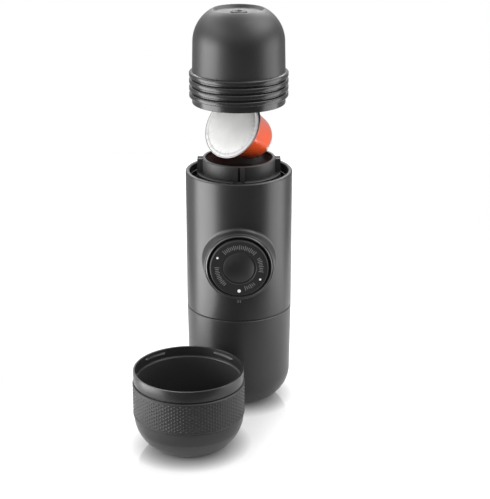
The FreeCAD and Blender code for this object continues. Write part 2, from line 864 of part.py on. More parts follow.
def make_capsule():
    """The capsule: a drawn cup with a rolled flange, its foil lid and the coffee inside."""
    wall, deep = "capsule_wall", "capsule_depth"
    cup = turned("capsule_cup", [
        ("0", f"0 - {deep} + {wall}"),
        ("0.5 * capsule_base", f"0 - {deep} + {wall}"),
        ("0.5 * capsule_base + capsule_wall", f"0 - {deep}"),
        ("capsule_base", f"0 - {deep}"),
        ("capsule_waist", f"0 - {deep} + base_rise"),
        ("capsule_top", "0 - capsule_wall"),
        ("capsule_top + capsule_wall", "0"),
        ("capsule_flange - 0.5 * flange_edge", "0"),
        ("capsule_flange", "0.5 * flange_edge", "0.5 * flange_edge", 1),
        ("capsule_flange - 0.5 * flange_edge", "flange_edge", "0.5 * flange_edge", 1),
        ("capsule_top - capsule_wall", "flange_edge"),
        (f"capsule_waist - {wall}", f"0 - {deep} + base_rise"),
        (f"capsule_base - 0.5 * {wall}", f"0 - {deep} + 2 * {wall}"),
        ("0", f"0 - {deep} + 2 * {wall}"),
    ])
    foil = turned("capsule_foil", [
        ("0", "flange_edge"),
        ("capsule_flange - flange_edge", "flange_edge"),
        ("capsule_flange - flange_edge", "capsule_height"),
        ("0", "capsule_height"),
    ])
    inset = "(capsule_wall + running_gap)"
    coffee = turned("coffee_bed", [
        ("0", f"0 - {deep} + 2 * {wall} + running_gap"),
        (f"capsule_base - {inset}", f"0 - {deep} + 2 * {wall} + running_gap"),
        (f"capsule_waist - {inset}", f"0 - {deep} + base_rise + running_gap"),
        ("capsule_top - capsule_wall - loose_gap", "0 - loose_gap"),
        ("0", "0 - loose_gap"),
    ])
    for piece in (cup, foil, coffee):
        piece.Placement = capsule_pose()


# Outlet head

def bead_corners():
    """The beads round the head's foot, from the lowest up."""
    corners = []
    for bead in range(round(value("bead_count"))):
        middle = f"lip_height + ({bead} + 0.5) * bead_pitch"
        corners += [
            ("lip_radius", f"{middle} - 0.5 * bead_foot"),
            ("bead_radius", f"{middle} - 0.5 * bead_crest"),
            ("bead_radius", f"{middle} + 0.5 * bead_crest"),
            ("lip_radius", f"{middle} + 0.5 * bead_foot"),
        ]
    return corners


def make_head_dome():
    """The head: plain lip, beaded foot, drafted wall and round dome with a sunk top."""
    edge = "recess_radius"
    run = f"({edge} - dome_centre)"
    fall = f"sqrt(dome_round * dome_round - {run} * {run})"
    spring = f"head_height - {fall}"
    inner = "(dome_round - head_wall)"
    shelf = "recess_base - head_wall"
    inner_run = f"({shelf} - ({spring}))"
    body = turned("head_dome", [
        ("mouth_radius", "0"),
        ("lip_radius - seam_chamfer", "0"),
        ("lip_radius", "seam_chamfer"),
        *bead_corners(),
        ("dome_radius", spring),
        (edge, "head_height", "dome_round", 1),
        ("recess_floor", "recess_base"),
        ("nozzle_radius + running_gap", "recess_base"),
        ("nozzle_radius + running_gap", shelf),
        (f"dome_centre + sqrt({inner} * {inner} - {inner_run} * {inner_run})", shelf),
        ("dome_radius - head_wall", spring, inner, -1),
        ("dome_radius - head_wall", "plate_top + 2 * seat_gap + funnel_wall"),
        ("mouth_radius", "plate_top + 2 * seat_gap"),
    ])
    place(body, z="head_rest")


def make_head_inside():
    """What the dome holds: gasket, extraction plate, funnel and nozzle."""
    reach = "mouth_radius - seat_gap"
    outer = cylinder("gasket_outside", reach, "gasket_height")
    inner = cylinder("gasket_inside", "gasket_bore", "gasket_height")
    gasket = cut("head_gasket", outer, inner)
    place(gasket, z="head_rest + gasket_base")

    plate = turned("extraction_plate", rectangle("0", "plate_base", reach, "plate_top"))
    hole = drill(plate, "0", "hole_circle", "plate_hole")
    repeat_round(plate, hole, "plate_holes")
    place(plate, z="head_rest")

    tip = "recess_base - head_wall - seat_gap"
    funnel = turned("coffee_funnel", [
        (f"{reach} - funnel_wall", "plate_top"),
        (reach, "plate_top"),
        ("nozzle_radius + funnel_wall + running_gap", f"{tip} - nozzle_radius"),
        ("nozzle_radius + funnel_wall + running_gap", tip),
        ("nozzle_radius + running_gap", tip),
        ("nozzle_radius + running_gap", f"{tip} - nozzle_radius"),
    ])
    place(funnel, z="head_rest")

    top = "head_height - nozzle_sink"
    nozzle = turned("outlet_nozzle", [
        ("nozzle_bore", f"{top} - nozzle_length"),
        ("nozzle_radius", f"{top} - nozzle_length"),
        ("nozzle_radius", f"{top} - seam_chamfer"),
        ("nozzle_radius - seam_chamfer", top),
        ("nozzle_bore + nozzle_lead", top),
        ("nozzle_bore", f"{top} - nozzle_lead"),
    ])
    place(nozzle, z="head_rest")


# Cup

def make_cup():
    """The cup that also caps the head: bowl, waist for the grip sleeve and a plain rim band."""
    shell = turned("cup_shell", [
        ("0", "0"),
        ("cup_foot", "0"),
        ("cup_radius", "bowl_height", "bowl_round", 1),
        ("cup_radius - grip_seat", "bowl_height"),
        ("cup_radius - grip_seat", "grip_top"),
        ("cup_radius - groove_depth", "grip_top"),
        ("cup_radius - groove_depth", "grip_top + groove_height"),
        ("cup_radius", "grip_top + groove_height"),
        ("cup_radius", "cup_height - rim_round"),
        ("cup_radius - rim_round", "cup_height", "rim_round", 1),
        ("cup_bore + 0.5 * cup_wall", "cup_height"),
        ("cup_bore + 0.5 * cup_wall", "cup_height - cup_step"),
        ("cup_bore", "cup_height - cup_step"),
        ("cup_bore", "bowl_height"),
        ("cup_foot", "cup_wall", "bowl_round - cup_wall", -1),
        ("0", "cup_wall"),
    ])
    sleeve = turned("cup_grip_sleeve", [
        ("cup_radius - grip_seat + running_gap", "bowl_height + running_gap"),
        ("grip_radius - grip_stand", "bowl_height + running_gap"),
        ("grip_radius", "bowl_height + grip_stand"),
        ("grip_radius", "grip_top - grip_stand"),
        ("grip_radius - grip_stand", "grip_top - running_gap"),
        ("cup_radius - grip_seat + running_gap", "grip_top - running_gap"),
    ])
    for piece in (shell, sleeve):
        place(piece, x="0 - cup_left", y="0 - cup_front")


def check_document():
    """Stops where an object failed or a sub-part has no valid solid."""
    doc.recompute()
    for thing in doc.Objects:
        if set(thing.State) & {"Invalid", "Error"}:
            raise RuntimeError(f"{thing.Label} did not build: {thing.State}")
    for piece in pieces:
        shape = piece.Shape
        if shape.isNull() or not shape.isValid() or not shape.Solids:
            raise RuntimeError(f"{piece.Label} has no valid solid")


def write_parts():
    """Writes each sub-part to its own file."""
    os.makedirs("parts", exist_ok=True)
    for piece in pieces:
        piece.Shape.exportStep(f"parts/{piece.Label}.step")
        print(piece.Label, len(piece.Shape.Solids), round(piece.Shape.Volume, 1))


make_tank()
make_tank_seal()
make_body_shell()
make_base_plate()
make_suction_line()
make_inlet_valve()
make_pump_cradle()
make_manifold()
make_cylinder()
make_guide()
make_sleeve()
make_piston()
make_spring()
make_knob()
make_holder()
make_needle_plate()
make_capsule()
make_head_dome()
make_head_inside()
make_cup()
check_document()
write_parts()
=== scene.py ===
import logging
import math
from dataclasses import dataclass, field, replace
from enum import Enum
from functools import reduce

import bmesh
import bpy
from mathutils import Matrix, Vector


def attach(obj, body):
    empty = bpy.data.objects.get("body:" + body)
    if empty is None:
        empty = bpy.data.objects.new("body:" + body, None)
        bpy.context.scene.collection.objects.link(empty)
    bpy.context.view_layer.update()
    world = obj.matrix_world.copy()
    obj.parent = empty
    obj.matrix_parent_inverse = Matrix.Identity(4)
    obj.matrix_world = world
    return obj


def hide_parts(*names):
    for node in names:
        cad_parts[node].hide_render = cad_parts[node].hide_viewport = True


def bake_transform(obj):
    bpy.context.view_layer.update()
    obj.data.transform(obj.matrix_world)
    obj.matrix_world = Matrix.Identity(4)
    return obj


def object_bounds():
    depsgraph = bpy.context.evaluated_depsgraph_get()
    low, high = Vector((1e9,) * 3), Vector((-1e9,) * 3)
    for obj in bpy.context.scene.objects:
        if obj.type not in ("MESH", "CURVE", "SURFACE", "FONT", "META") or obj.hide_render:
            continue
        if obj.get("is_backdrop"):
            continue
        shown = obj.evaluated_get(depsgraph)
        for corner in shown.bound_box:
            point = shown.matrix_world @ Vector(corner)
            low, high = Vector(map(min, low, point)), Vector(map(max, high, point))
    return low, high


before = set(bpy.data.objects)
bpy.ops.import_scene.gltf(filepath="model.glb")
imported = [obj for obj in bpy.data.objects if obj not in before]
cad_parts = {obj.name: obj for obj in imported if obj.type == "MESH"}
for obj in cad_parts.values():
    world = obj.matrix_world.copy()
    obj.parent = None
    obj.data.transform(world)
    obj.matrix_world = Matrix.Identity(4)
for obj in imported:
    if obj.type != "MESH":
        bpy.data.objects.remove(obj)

"""The looks of a hand-pumped capsule espresso maker: finishes for its moulded parts, and the
threads, knurl, marks, spring and capsule that are finer than the solids they ride on.
Sizes are in millimetres and angles in degrees, except where a line says otherwise."""

MM = 0.001
BMesh = bmesh.types.BMesh
Node, Socket = bpy.types.Node, bpy.types.NodeSocket
Colour = tuple[float, float, float]
Point = tuple[float, float]
Ramp = tuple[float, float, float, float]  # from, to, first value, last value
BLACK: Colour = (0.0, 0.0, 0.0)
WHITE: Colour = (1.0, 1.0, 1.0)
log = logging.getLogger("espresso_maker")


def grey(level: float, cast: float = 0.0005) -> Colour:
    """A neutral colour with a trace more blue."""
    return (level, level, level + cast)


def steel(level: float) -> Colour:
    """The cool colour of bare steel."""
    return (level, level + 0.01, level + 0.03)


def shift(across: float, along: float, up: float) -> Matrix:
    """The matrix that moves by so many millimetres."""
    return Matrix.Translation(Vector((across, along, up)) * MM)


def turn(degrees: float, axis: str | Vector) -> Matrix:
    """The matrix that turns round an axis."""
    return Matrix.Rotation(math.radians(degrees), 4, axis)


class Body(str, Enum):
    """The rigid bodies that pieces ride on."""

    TANK = "water_tank"
    CASING = "main_body"
    PISTON = "pump_piston"
    KNOB = "knob"
    HEAD = "outlet_head"
    CAPSULE = "capsule"
    CUP = "cup"


class Facing(Enum):
    """Which way a lathe's axis points, as the turn about X that takes +Z there."""

    UP = 0.0
    FRONT = 90.0

    def matrix(self) -> Matrix:
        """The turn about X."""
        return turn(self.value, "X")


class Graph:
    """A node tree with short calls for adding and joining nodes."""

    def __init__(self, tree: bpy.types.NodeTree) -> None:
        """Wraps a tree."""
        self.tree = tree

    def add(self, kind: str, settings: dict | None = None, **inputs: object) -> Node:
        """Adds a node.

        Args:
            kind: The node's type, without the leading ShaderNode.
            settings: Properties of the node itself.
            **inputs: Values or sockets for inputs, named with _ for a space.

        Returns:
            The new node.
        """
        node = self.tree.nodes.new(f"ShaderNode{kind}")
        for key, value in (settings or {}).items():
            setattr(node, key, value)
        self.dress(node, **inputs)
        return node

    def dress(self, node: Node, **inputs: object) -> None:
        """Feeds a node's inputs, named with _ for a space."""
        for key, value in inputs.items():
            self.feed(node.inputs[key.replace("_", " ")], value)

    def feed(self, socket: Socket, value: object) -> None:
        """Joins another socket to this one, or sets its value."""
        if isinstance(value, Socket):
            self.tree.links.new(value, socket)
        elif isinstance(value, tuple) and len(value) == 3 and socket.type == "RGBA":
            socket.default_value = (*value, 1.0)
        else:
            socket.default_value = value

    def effect(self, name: str, **inputs: object) -> Node:
        """Adds one of the shared effects."""
        return self.add("Group", {"node_tree": Effects.tree(name)}, **inputs)

    def maths(self, operation: str, *values: object) -> Socket:
        """A Math node of one operation and the values it takes."""
        node = self.add("Math", {"operation": operation})
        for socket, value in zip(node.inputs, values):
            self.feed(socket, value)
        return node.outputs[0]

    def fold(self, operation: str, *values: object) -> Socket:
        """One operation of two values, taken over several in turn."""
        return reduce(lambda first, second: self.maths(operation, first, second), values)

    def length(self, across: object, along: object) -> Socket:
        """How far a point is from the origin of two coordinates."""
        squares = [self.maths("MULTIPLY", part, part) for part in (across, along)]
        return self.maths("SQRT", self.maths("ADD", *squares))

    def remap(self, value: object, low: float, high: float, first: float, last: float) -> Socket:
        """A smooth step from first to last while value goes from low to high."""
        node = self.add("MapRange", {"interpolation_type": "SMOOTHSTEP"}, Value=value)
        for socket, number in zip(node.inputs[1:5], (low, high, first, last)):
            socket.default_value = number
        return node.outputs[0]

    def within(self, value: object, edge: float, blur: float, most: float) -> Socket:
        """Most where a length is below an edge and 0 above it, blurred to either side."""
        return self.remap(value, (edge - blur) * MM, (edge + blur) * MM, most, 0.0)

    def blend(self, amount: object, first: object, second: object) -> Socket:
        """A colour that goes from first to second with amount."""
        node = self.add("Mix", {"data_type": "RGBA"})
        for index, value in ((0, amount), (6, first), (7, second)):
            self.feed(node.inputs[index], value)
        return node.outputs[2]

    def place(self, kind: str = "Object") -> Socket:
        """Where a point is, by default in the piece's own metres."""
        return self.add("TexCoord").outputs[kind]

    def split(self, vector: object) -> list[Socket]:
        """The X, Y and Z of a vector."""
        return list(self.add("SeparateXYZ", Vector=vector).outputs)

    def noise(self, scale: object, detail: float = 2.0, stretch: object = None,
              place: object = None) -> Socket:
        """Noise over a place.

        Args:
            scale: How many spots there are to a metre.
            detail: How many finer layers it has.
            stretch: The scale along each axis, where they differ.
            place: The place, if not the piece's own.

        Returns:
            The noise, from 0 to 1.
        """
        place = self.place() if place is None else place
        if stretch is not None:
            place = self.add("Mapping", Vector=place, Scale=stretch).outputs[0]
        return self.add("TexNoise", Vector=place, Scale=scale, Detail=detail).outputs["Fac"]

    def uneven(self, level: object, amount: object, *noises: object) -> Socket:
        """A level that two noises, each round a half, raise and lower by an amount."""
        swing = self.maths("SUBTRACT", self.fold("ADD", *noises), 0.5 * len(noises))
        return self.maths("MULTIPLY_ADD", swing, amount, level)

    def bump(self, height: object, strength: float, depth: float, invert: bool = False) -> Socket:
        """The normals of a relief of some depth."""
        return self.add("Bump", {"invert": invert}, Height=height, Strength=strength,
                        Distance=depth * MM).outputs["Normal"]

    def seen(self) -> Socket:
        """1 on rays that come straight from the camera, also through something clear."""
        path = self.add("LightPath").outputs
        return self.maths("MAXIMUM", path["Is Camera Ray"], path["Is Transmission Ray"])


def group_tree(name: str, inputs: dict[str, str], outputs: dict[str, str]) -> tuple[Graph, dict, dict]:
    """Starts a node group.

    Args:
        name: The group's name.
        inputs: Socket names and their types.
        outputs: Socket names and their types.

    Returns:
        The graph, the sockets that give its inputs and those that take its outputs.
    """
    tree = bpy.data.node_groups.new(name, "ShaderNodeTree")
    for way, sockets in (("INPUT", inputs), ("OUTPUT", outputs)):
        for socket, kind in sockets.items():
            tree.interface.new_socket(name=socket, in_out=way, socket_type=f"NodeSocket{kind}")
    entry, leave = tree.nodes.new("NodeGroupInput"), tree.nodes.new("NodeGroupOutput")
    return Graph(tree), entry.outputs, leave.inputs


class Effects:
    """The shared node groups, each built once."""

    DUST: Colour = (0.36, 0.35, 0.34)
    built: dict[str, bpy.types.NodeTree] = {}

    @classmethod
    def tree(cls, name: str) -> bpy.types.NodeTree:
        """The group of that name, built when it is first asked for."""
        if name not in cls.built:
            cls.built[name] = getattr(cls, name)()
        return cls.built[name]

    @classmethod
    def moulded_skin(cls) -> bpy.types.NodeTree:
        """Spark-eroded grain, soft handling smudges and a trace of dust on upward faces."""
        graph, given, out = group_tree(
            "moulded_skin",
            {"Colour": "Color", "Roughness": "Float", "Grain": "Float", "Smudge": "Float", "Dust": "Float"},
            {"Colour": "Color", "Roughness": "Float", "Height": "Float"},
        )
        grain = graph.noise(given["Grain"], 3.0)
        cloud, streak = graph.noise(55.0, 3.0), graph.noise(140.0, 2.0, (1.0, 1.0, 0.18))
        rough = graph.uneven(given["Roughness"], given["Smudge"], cloud, streak)
        up = graph.split(graph.add("NewGeometry").outputs["Normal"])[2]
        specks = graph.remap(graph.noise(2600.0, 1.0), 0.66, 0.74, 0.0, 1.0)
        film = graph.fold("MULTIPLY", graph.remap(up, 0.3, 0.95, 0.0, 1.0), given["Dust"],
                          graph.remap(specks, 0.0, 1.0, 0.12, 1.0))
        base = graph.blend(graph.remap(grain, 0.3, 0.7, 0.0, 0.16), given["Colour"], BLACK)
        graph.feed(out["Colour"], graph.blend(film, base, cls.DUST))
        graph.feed(out["Roughness"], graph.maths("MULTIPLY_ADD", film, 0.3, rough))
        graph.feed(out["Height"], grain)
        return graph.tree

    @classmethod
    def drawn_lines(cls) -> bpy.types.NodeTree:
        """Fine lines of rolled, brushed or drawn metal along one direction."""
        graph, given, out = group_tree(
            "drawn_lines",
            {"Roughness": "Float", "Stretch": "Vector", "Spread": "Float"},
            {"Roughness": "Float", "Height": "Float"},
        )
        lines, cloud = graph.noise(1.0, 4.0, given["Stretch"]), graph.noise(180.0)
        graph.feed(out["Roughness"], graph.uneven(given["Roughness"], given["Spread"], lines, cloud))
        graph.feed(out["Height"], lines)
        return graph.tree


built_materials: dict[str, bpy.types.Material] = {}


@dataclass(frozen=True)
class Finish:
    """What every finish has: a name and the colour it is made in."""

    name: str
    colour: Colour

    def surface(self, graph: Graph, shader: Node) -> None:
        """Dresses the shader; each kind of finish does its own."""

    def times(self, factor: float) -> Colour:
        """The finish's colour, so many times as bright."""
        return tuple(factor * part for part in self.colour)

    def build(self) -> bpy.types.Material:
        """The material, made once for each finish."""
        if self.name in built_materials:
            return built_materials[self.name]
        material = bpy.data.materials.new(f"{self.name}_finish")
        built_materials[self.name] = material
        material.use_nodes = True
        self.surface(Graph(material.node_tree), material.node_tree.nodes["Principled BSDF"])
        material.diffuse_color = (*self.colour, 1.0)
        return material


@dataclass(frozen=True)
class MouldedPlastic(Finish):
    """Plastic from a textured mould, charcoal for the most part."""

    roughness: float = 0.35
    grain: float = 0.45
    depth: float = 0.004
    specular: float = 0.5
    smudge: float = 0.07
    dust: float = 0.02
    polished_below: float = 0.0
    polish: float = 0.26
    polish_blur: float = 0.4
    # Painted light: the radius, blur and brightening of a paler inside round an axis.
    painted_light_within: float = 0.0
    painted_light_blur: float = 0.3
    painted_light_times: float = 2.1
    axis: Point = (0.0, 0.0)

    def surface(self, graph: Graph, shader: Node) -> None:
        """The moulded skin, with a polished foot and, where asked for, a paler inside that is painted light."""
        skin = graph.effect("moulded_skin", Colour=self.colour, Roughness=self.roughness,
                            Grain=1.0 / (self.grain * MM), Smudge=self.smudge, Dust=self.dust).outputs
        colour, rough = skin["Colour"], skin["Roughness"]
        # Painted light: within a radius of the axis the colour is drawn paler, as if light filled the hollow.
        if self.painted_light_within:
            parts = graph.split(graph.place())
            reach = graph.length(*(graph.maths("SUBTRACT", part, middle * MM)
                                   for part, middle in zip(parts, self.axis)))
            inside = graph.within(reach, self.painted_light_within, self.painted_light_blur, 1.0)
            colour = graph.blend(inside, colour, self.times(self.painted_light_times))
        if self.polished_below:
            foot = graph.within(graph.split(graph.place())[2], self.polished_below, self.polish_blur,
                                self.roughness - self.polish)
            rough = graph.maths("SUBTRACT", rough, foot)
        graph.dress(shader, Base_Color=colour, Roughness=rough, Specular_IOR_Level=self.specular,
                    Normal=graph.bump(skin["Height"], 0.6, self.depth))


@dataclass(frozen=True)
class DrawnMetal(Finish):
    """Bare metal with the lines of its rolling or drawing."""

    roughness: float = 0.3
    stretch: Colour = (300.0, 6000.0, 6000.0)
    spread: float = 0.12
    depth: float = 0.01
    strength: float = 0.5

    def lines(self, graph: Graph, shader: Node) -> Socket:
        """Puts lines in the shader's roughness and relief, and gives their height."""
        lines = graph.effect("drawn_lines", Roughness=self.roughness, Stretch=self.stretch,
                             Spread=self.spread).outputs
        graph.dress(shader, Roughness=lines["Roughness"],
                    Normal=graph.bump(lines["Height"], self.strength, self.depth))
        return lines["Height"]

    def surface(self, graph: Graph, shader: Node) -> None:
        """Lines also in the colour."""
        shade = graph.remap(self.lines(graph, shader), 0.2, 0.8, 0.0, 0.12)
        graph.dress(shader, Base_Color=graph.blend(shade, self.colour, (0.25, 0.25, 0.26)), Metallic=1.0)


@dataclass(frozen=True)
class Lacquer(DrawnMetal):
    """Coloured clear lacquer over drawn aluminium."""

    roughness: float = 0.35
    stretch: Colour = (2600.0,) * 3
    spread: float = 0.08
    depth: float = 0.006
    strength: float = 0.35
    metallic: float = 0.28
    specular: float = 0.08
    coat: float = 0.85
    coat_roughness: float = 0.03
    deep: float = 0.72

    def surface(self, graph: Graph, shader: Node) -> None:
        """Draw lines under a clouded colour and a clear coat over it."""
        self.lines(graph, shader)
        cloud = graph.remap(graph.noise(90.0), 0.3, 0.7, 0.0, 0.25)
        graph.dress(shader, Base_Color=graph.blend(cloud, self.colour, self.times(self.deep)),
                    Metallic=self.metallic, Specular_IOR_Level=self.specular, Coat_Weight=self.coat,
                    Coat_Roughness=self.coat_roughness)


@dataclass(frozen=True)
class Rubber(Finish):
    """Moulded silicone with a fine matt bloom."""

    roughness: float = 0.62
    bloomed: float = 0.8
    most: float = 0.22

    def surface(self, graph: Graph, shader: Node) -> None:
        """A pale bloom in patches and a fine pebbled relief."""
        bloom = graph.remap(graph.noise(240.0, 4.0), 0.45, 0.75, 0.0, self.most)
        graph.dress(shader, Base_Color=graph.blend(bloom, self.colour, grey(0.16, 0.0)),
                    Roughness=graph.remap(bloom, 0.0, self.most, self.roughness, self.bloomed),
                    Normal=graph.bump(graph.noise(5200.0), 0.5, 0.01))


@dataclass(frozen=True)
class Grounds(Finish):
    """Ground coffee: dark crumbs of mixed browns."""

    crumb_scale: float = 1900.0
    darkest: Colour = (0.02, 0.01, 0.006)

    def surface(self, graph: Graph, shader: Node) -> None:
        """Crumbs in the colour and a deep relief."""
        crumbs = graph.add("TexVoronoi", Vector=graph.place(), Scale=self.crumb_scale).outputs["Distance"]
        tone = graph.remap(crumbs, 0.0, 0.7, 0.0, 1.0)
        graph.dress(shader, Base_Color=graph.blend(tone, self.colour, self.darkest),
                    Roughness=graph.remap(tone, 0.0, 1.0, 0.7, 0.9),
                    Normal=graph.bump(crumbs, 0.9, 0.2, invert=True))


@dataclass(frozen=True)
class PadPrint(Finish):
    """Pad-printed paint, a little thin where the pad lifted."""

    roughness: float = 0.5
    worn: float = 0.62
    most: float = 0.35

    def surface(self, graph: Graph, shader: Node) -> None:
        """Thin spots in the paint."""
        thin = graph.remap(graph.noise(3400.0, 3.0), 0.55, 0.75, 0.0, self.most)
        graph.dress(shader, Base_Color=graph.blend(thin, self.colour, grey(0.05, 0.0)),
                    Roughness=graph.remap(thin, 0.0, self.most, self.roughness, self.worn))


@dataclass(frozen=True)
class FoilLid(Finish):
    """Soft aluminium foil: fine rolling lines, faint dents and puckers near the crimp."""

    centre: Vector
    turn: Matrix
    puckers_from: float = 10.5
    puckers_full: float = 13.5
    rolling: Colour = (260.0, 5200.0, 260.0)
    spokes: float = 26.0
    spoke_scale: float = 160.0
    relief: float = 0.22
    metallic: float = 0.6

    def surface(self, graph: Graph, shader: Node) -> None:
        """Rolling lines, clouded sheen and radial puckers in the lid's own plane, with painted shade darkening
        the pucker creases.
        """
        middle = graph.add("VectorMath", {"operation": "SUBTRACT"})
        graph.feed(middle.inputs[0], graph.place())
        graph.feed(middle.inputs[1], tuple(self.centre))
        place = graph.add("Mapping", Vector=middle.outputs[0],
                          Rotation=tuple(self.turn.inverted().to_euler())).outputs[0]
        across, along, _ = graph.split(place)
        radius = graph.length(across, along)
        angle = graph.maths("ARCTAN2", along, across)
        wheel = graph.add("CombineXYZ", X=graph.maths("MULTIPLY", angle, self.spokes),
                          Y=graph.maths("MULTIPLY", radius, self.spoke_scale)).outputs[0]
        brushed = graph.noise(1.0, 4.0, self.rolling, place)
        cloud = graph.noise(95.0, 3.0, place=place)
        pucker = graph.noise(1.0, 3.0, place=wheel)
        edge = graph.remap(radius, self.puckers_from * MM, self.puckers_full * MM, 0.0, 1.0)
        relief = graph.fold("ADD", graph.maths("MULTIPLY", brushed, 0.5), graph.maths("MULTIPLY", cloud, 0.8),
                            graph.fold("MULTIPLY", pucker, edge, 0.5))
        # Painted shade: the colour darkens along the pucker creases near the crimp.
        painted_crease_shade = graph.maths("MULTIPLY", graph.remap(pucker, 0.54, 0.64, 0.0, 0.6), edge)
        shade = graph.maths("ADD", graph.remap(cloud, 0.35, 0.7, 0.0, 0.2), painted_crease_shade)
        graph.dress(shader, Base_Color=graph.blend(shade, self.colour, grey(0.3, 0.0)), Metallic=self.metallic,
                    Roughness=graph.remap(brushed, 0.2, 0.8, 0.46, 0.6),
                    Normal=graph.bump(relief, 0.7, self.relief))


@dataclass(frozen=True)
class TableTop(Finish):
    """A glossy white table that lets the background through but for a contact shadow and a reflection."""

    seen_colour: Colour = (0.3, 0.3, 0.3)
    glow: float = 0.9
    # Reach and power of the painted contact shadow: ambient occlusion dims the glow near the objects.
    contact: float = 0.011  # metres
    painted_shadow_power: float = 1.1
    fade: float = 0.045  # metres
    gloss: Ramp = (0.45, 1.0, 0.36, 0.0)
    gloss_roughness: float = 0.07
    roughness: float = 0.9
    samples: int = 16

    def surface(self, graph: Graph, shader: Node) -> None:
        """A dim diffuse that takes real shadows, a glow held back where things touch as a painted contact
        shadow, and a mirror that fades with distance.
        """
        seen = graph.seen()
        graph.dress(shader, Base_Color=graph.blend(seen, self.colour, self.seen_colour),
                    Roughness=self.roughness, Specular_IOR_Level=0.0)
        near, around = (graph.add("AmbientOcclusion", {"samples": self.samples}, Distance=reach).outputs["AO"]
                        for reach in (self.contact, self.fade))
        # Painted contact shadow: the glow is multiplied by ambient occlusion near the objects.
        strength = graph.fold("MULTIPLY", seen, self.glow, graph.maths("POWER", near, self.painted_shadow_power))
        lit, both = graph.add("AddShader"), graph.add("MixShader")
        glow = graph.add("Emission", Color=WHITE, Strength=strength)
        mirror = graph.add("BsdfGlossy", Roughness=self.gloss_roughness)
        amount = graph.maths("MULTIPLY", seen, graph.remap(around, *self.gloss))
        joints = ((lit.inputs[0], shader), (lit.inputs[1], glow), (both.inputs[1], lit),
                  (both.inputs[2], mirror), (graph.tree.nodes["Material Output"].inputs[0], both))
        graph.dress(both, Fac=amount)
        for socket, node in joints:
            graph.feed(socket, node.outputs[0])


CASING = MouldedPlastic("casing_plastic", grey(0.0175))
TANK = MouldedPlastic("tank_plastic", grey(0.0175), roughness=0.37)
HEAD = MouldedPlastic("head_plastic", grey(0.0175), roughness=0.43, polished_below=191.0)
THREAD = MouldedPlastic("thread_plastic", grey(0.018), roughness=0.26, depth=0.002)
# The cup's inside and the lugs in its mouth are drawn paler: painted light in the hollow of the cup.
CUP = MouldedPlastic("cup_plastic", grey(0.017), roughness=0.34, painted_light_within=28.2, axis=(-27.1, -62.9))
GRIP = MouldedPlastic("grip_plastic", grey(0.016), roughness=0.52, depth=0.003)
KNOB = MouldedPlastic("knob_plastic", grey(0.0145), roughness=0.52, depth=0.003, specular=0.36)
DISH = MouldedPlastic("dish_plastic", grey(0.0145), roughness=0.46, grain=0.2, specular=0.4)
HOLDER = MouldedPlastic("holder_plastic", grey(0.022), roughness=0.48, depth=0.003, specular=0.42)
INNER = MouldedPlastic("inner_plastic", grey(0.045, 0.003), roughness=0.42, dust=0.0)
PUMP = MouldedPlastic("pump_plastic", grey(0.55, 0.01), roughness=0.38, dust=0.0)
ROD = MouldedPlastic("rod_plastic", grey(0.08, 0.005), roughness=0.22, depth=0.003, dust=0.0)
TUBE = MouldedPlastic("tube_plastic", (0.75, 0.76, 0.77), roughness=0.25, dust=0.0)
SLEEVE = MouldedPlastic("sleeve_black", grey(0.017), roughness=0.4, depth=0.003, dust=0.0)
LINING = MouldedPlastic("lining_black", grey(0.034), roughness=0.22, depth=0.001, dust=0.0, specular=0.9)
NOZZLE = MouldedPlastic("nozzle_black", grey(0.011), roughness=0.28, depth=0.002)
SEAL = Rubber("seal_rubber", grey(0.03, 0.002))
SPRING = DrawnMetal("spring_steel", steel(0.6), roughness=0.24, stretch=(2500.0,) * 3)
PLATE = DrawnMetal("needle_steel", steel(0.62))
BALL = DrawnMetal("ball_steel", grey(0.8, 0.02), roughness=0.08, stretch=(900.0,) * 3, spread=0.05, depth=0.002)
SCREW = DrawnMetal("screw_steel", steel(0.5), roughness=0.34, stretch=(1800.0,) * 3)
RED = Lacquer("capsule_aluminium", (0.88, 0.1, 0.022))
# The rim's bare metal is made dark grey: a painted dark reflection on the rolled edge.
RIM_WITH_PAINTED_REFLECTION = DrawnMetal("capsule_rim", grey(0.2, 0.005), stretch=(2200.0,) * 3)
COFFEE = Grounds("ground_coffee", (0.12, 0.06, 0.03))
WHITE_PRINT = PadPrint("white_print", grey(0.78, 0.0))
GREY_PRINT = PadPrint("grey_print", grey(0.16, 0.0))
TABLE = TableTop("table_top", grey(0.8, 0.0))
FOIL_COLOUR = grey(0.43, -0.005)

NODE_FINISHES: dict[Finish, tuple[str, ...]] = {
    TANK: ("tank_shell",),
    CASING: ("body_shell",),
    SEAL: ("tank_seal", "piston_seal", "head_gasket"),
    INNER: ("base_plate", "suction_strainer", "inlet_valve_seat", "pump_cradle", "water_manifold",
            "guide_collar", "coffee_funnel"),
    TUBE: ("suction_tube",),
    PUMP: ("pump_cylinder",),
    ROD: ("plunger",),
    SLEEVE: ("bore_sleeve",),
    SPRING: ("piston_spring",),
    HOLDER: ("capsule_holder",),
    PLATE: ("needle_plate", "extraction_plate", "capsule_foil"),
    BALL: ("inlet_ball", "outlet_ball"),
    KNOB: ("knob_cap",),
    DISH: ("knob_dish",),
    HEAD: ("head_dome",),
    NOZZLE: ("outlet_nozzle",),
    RED: ("capsule_cup",),
    COFFEE: ("coffee_bed",),
    CUP: ("cup_shell",),
    GRIP: ("cup_grip_sleeve",),
}


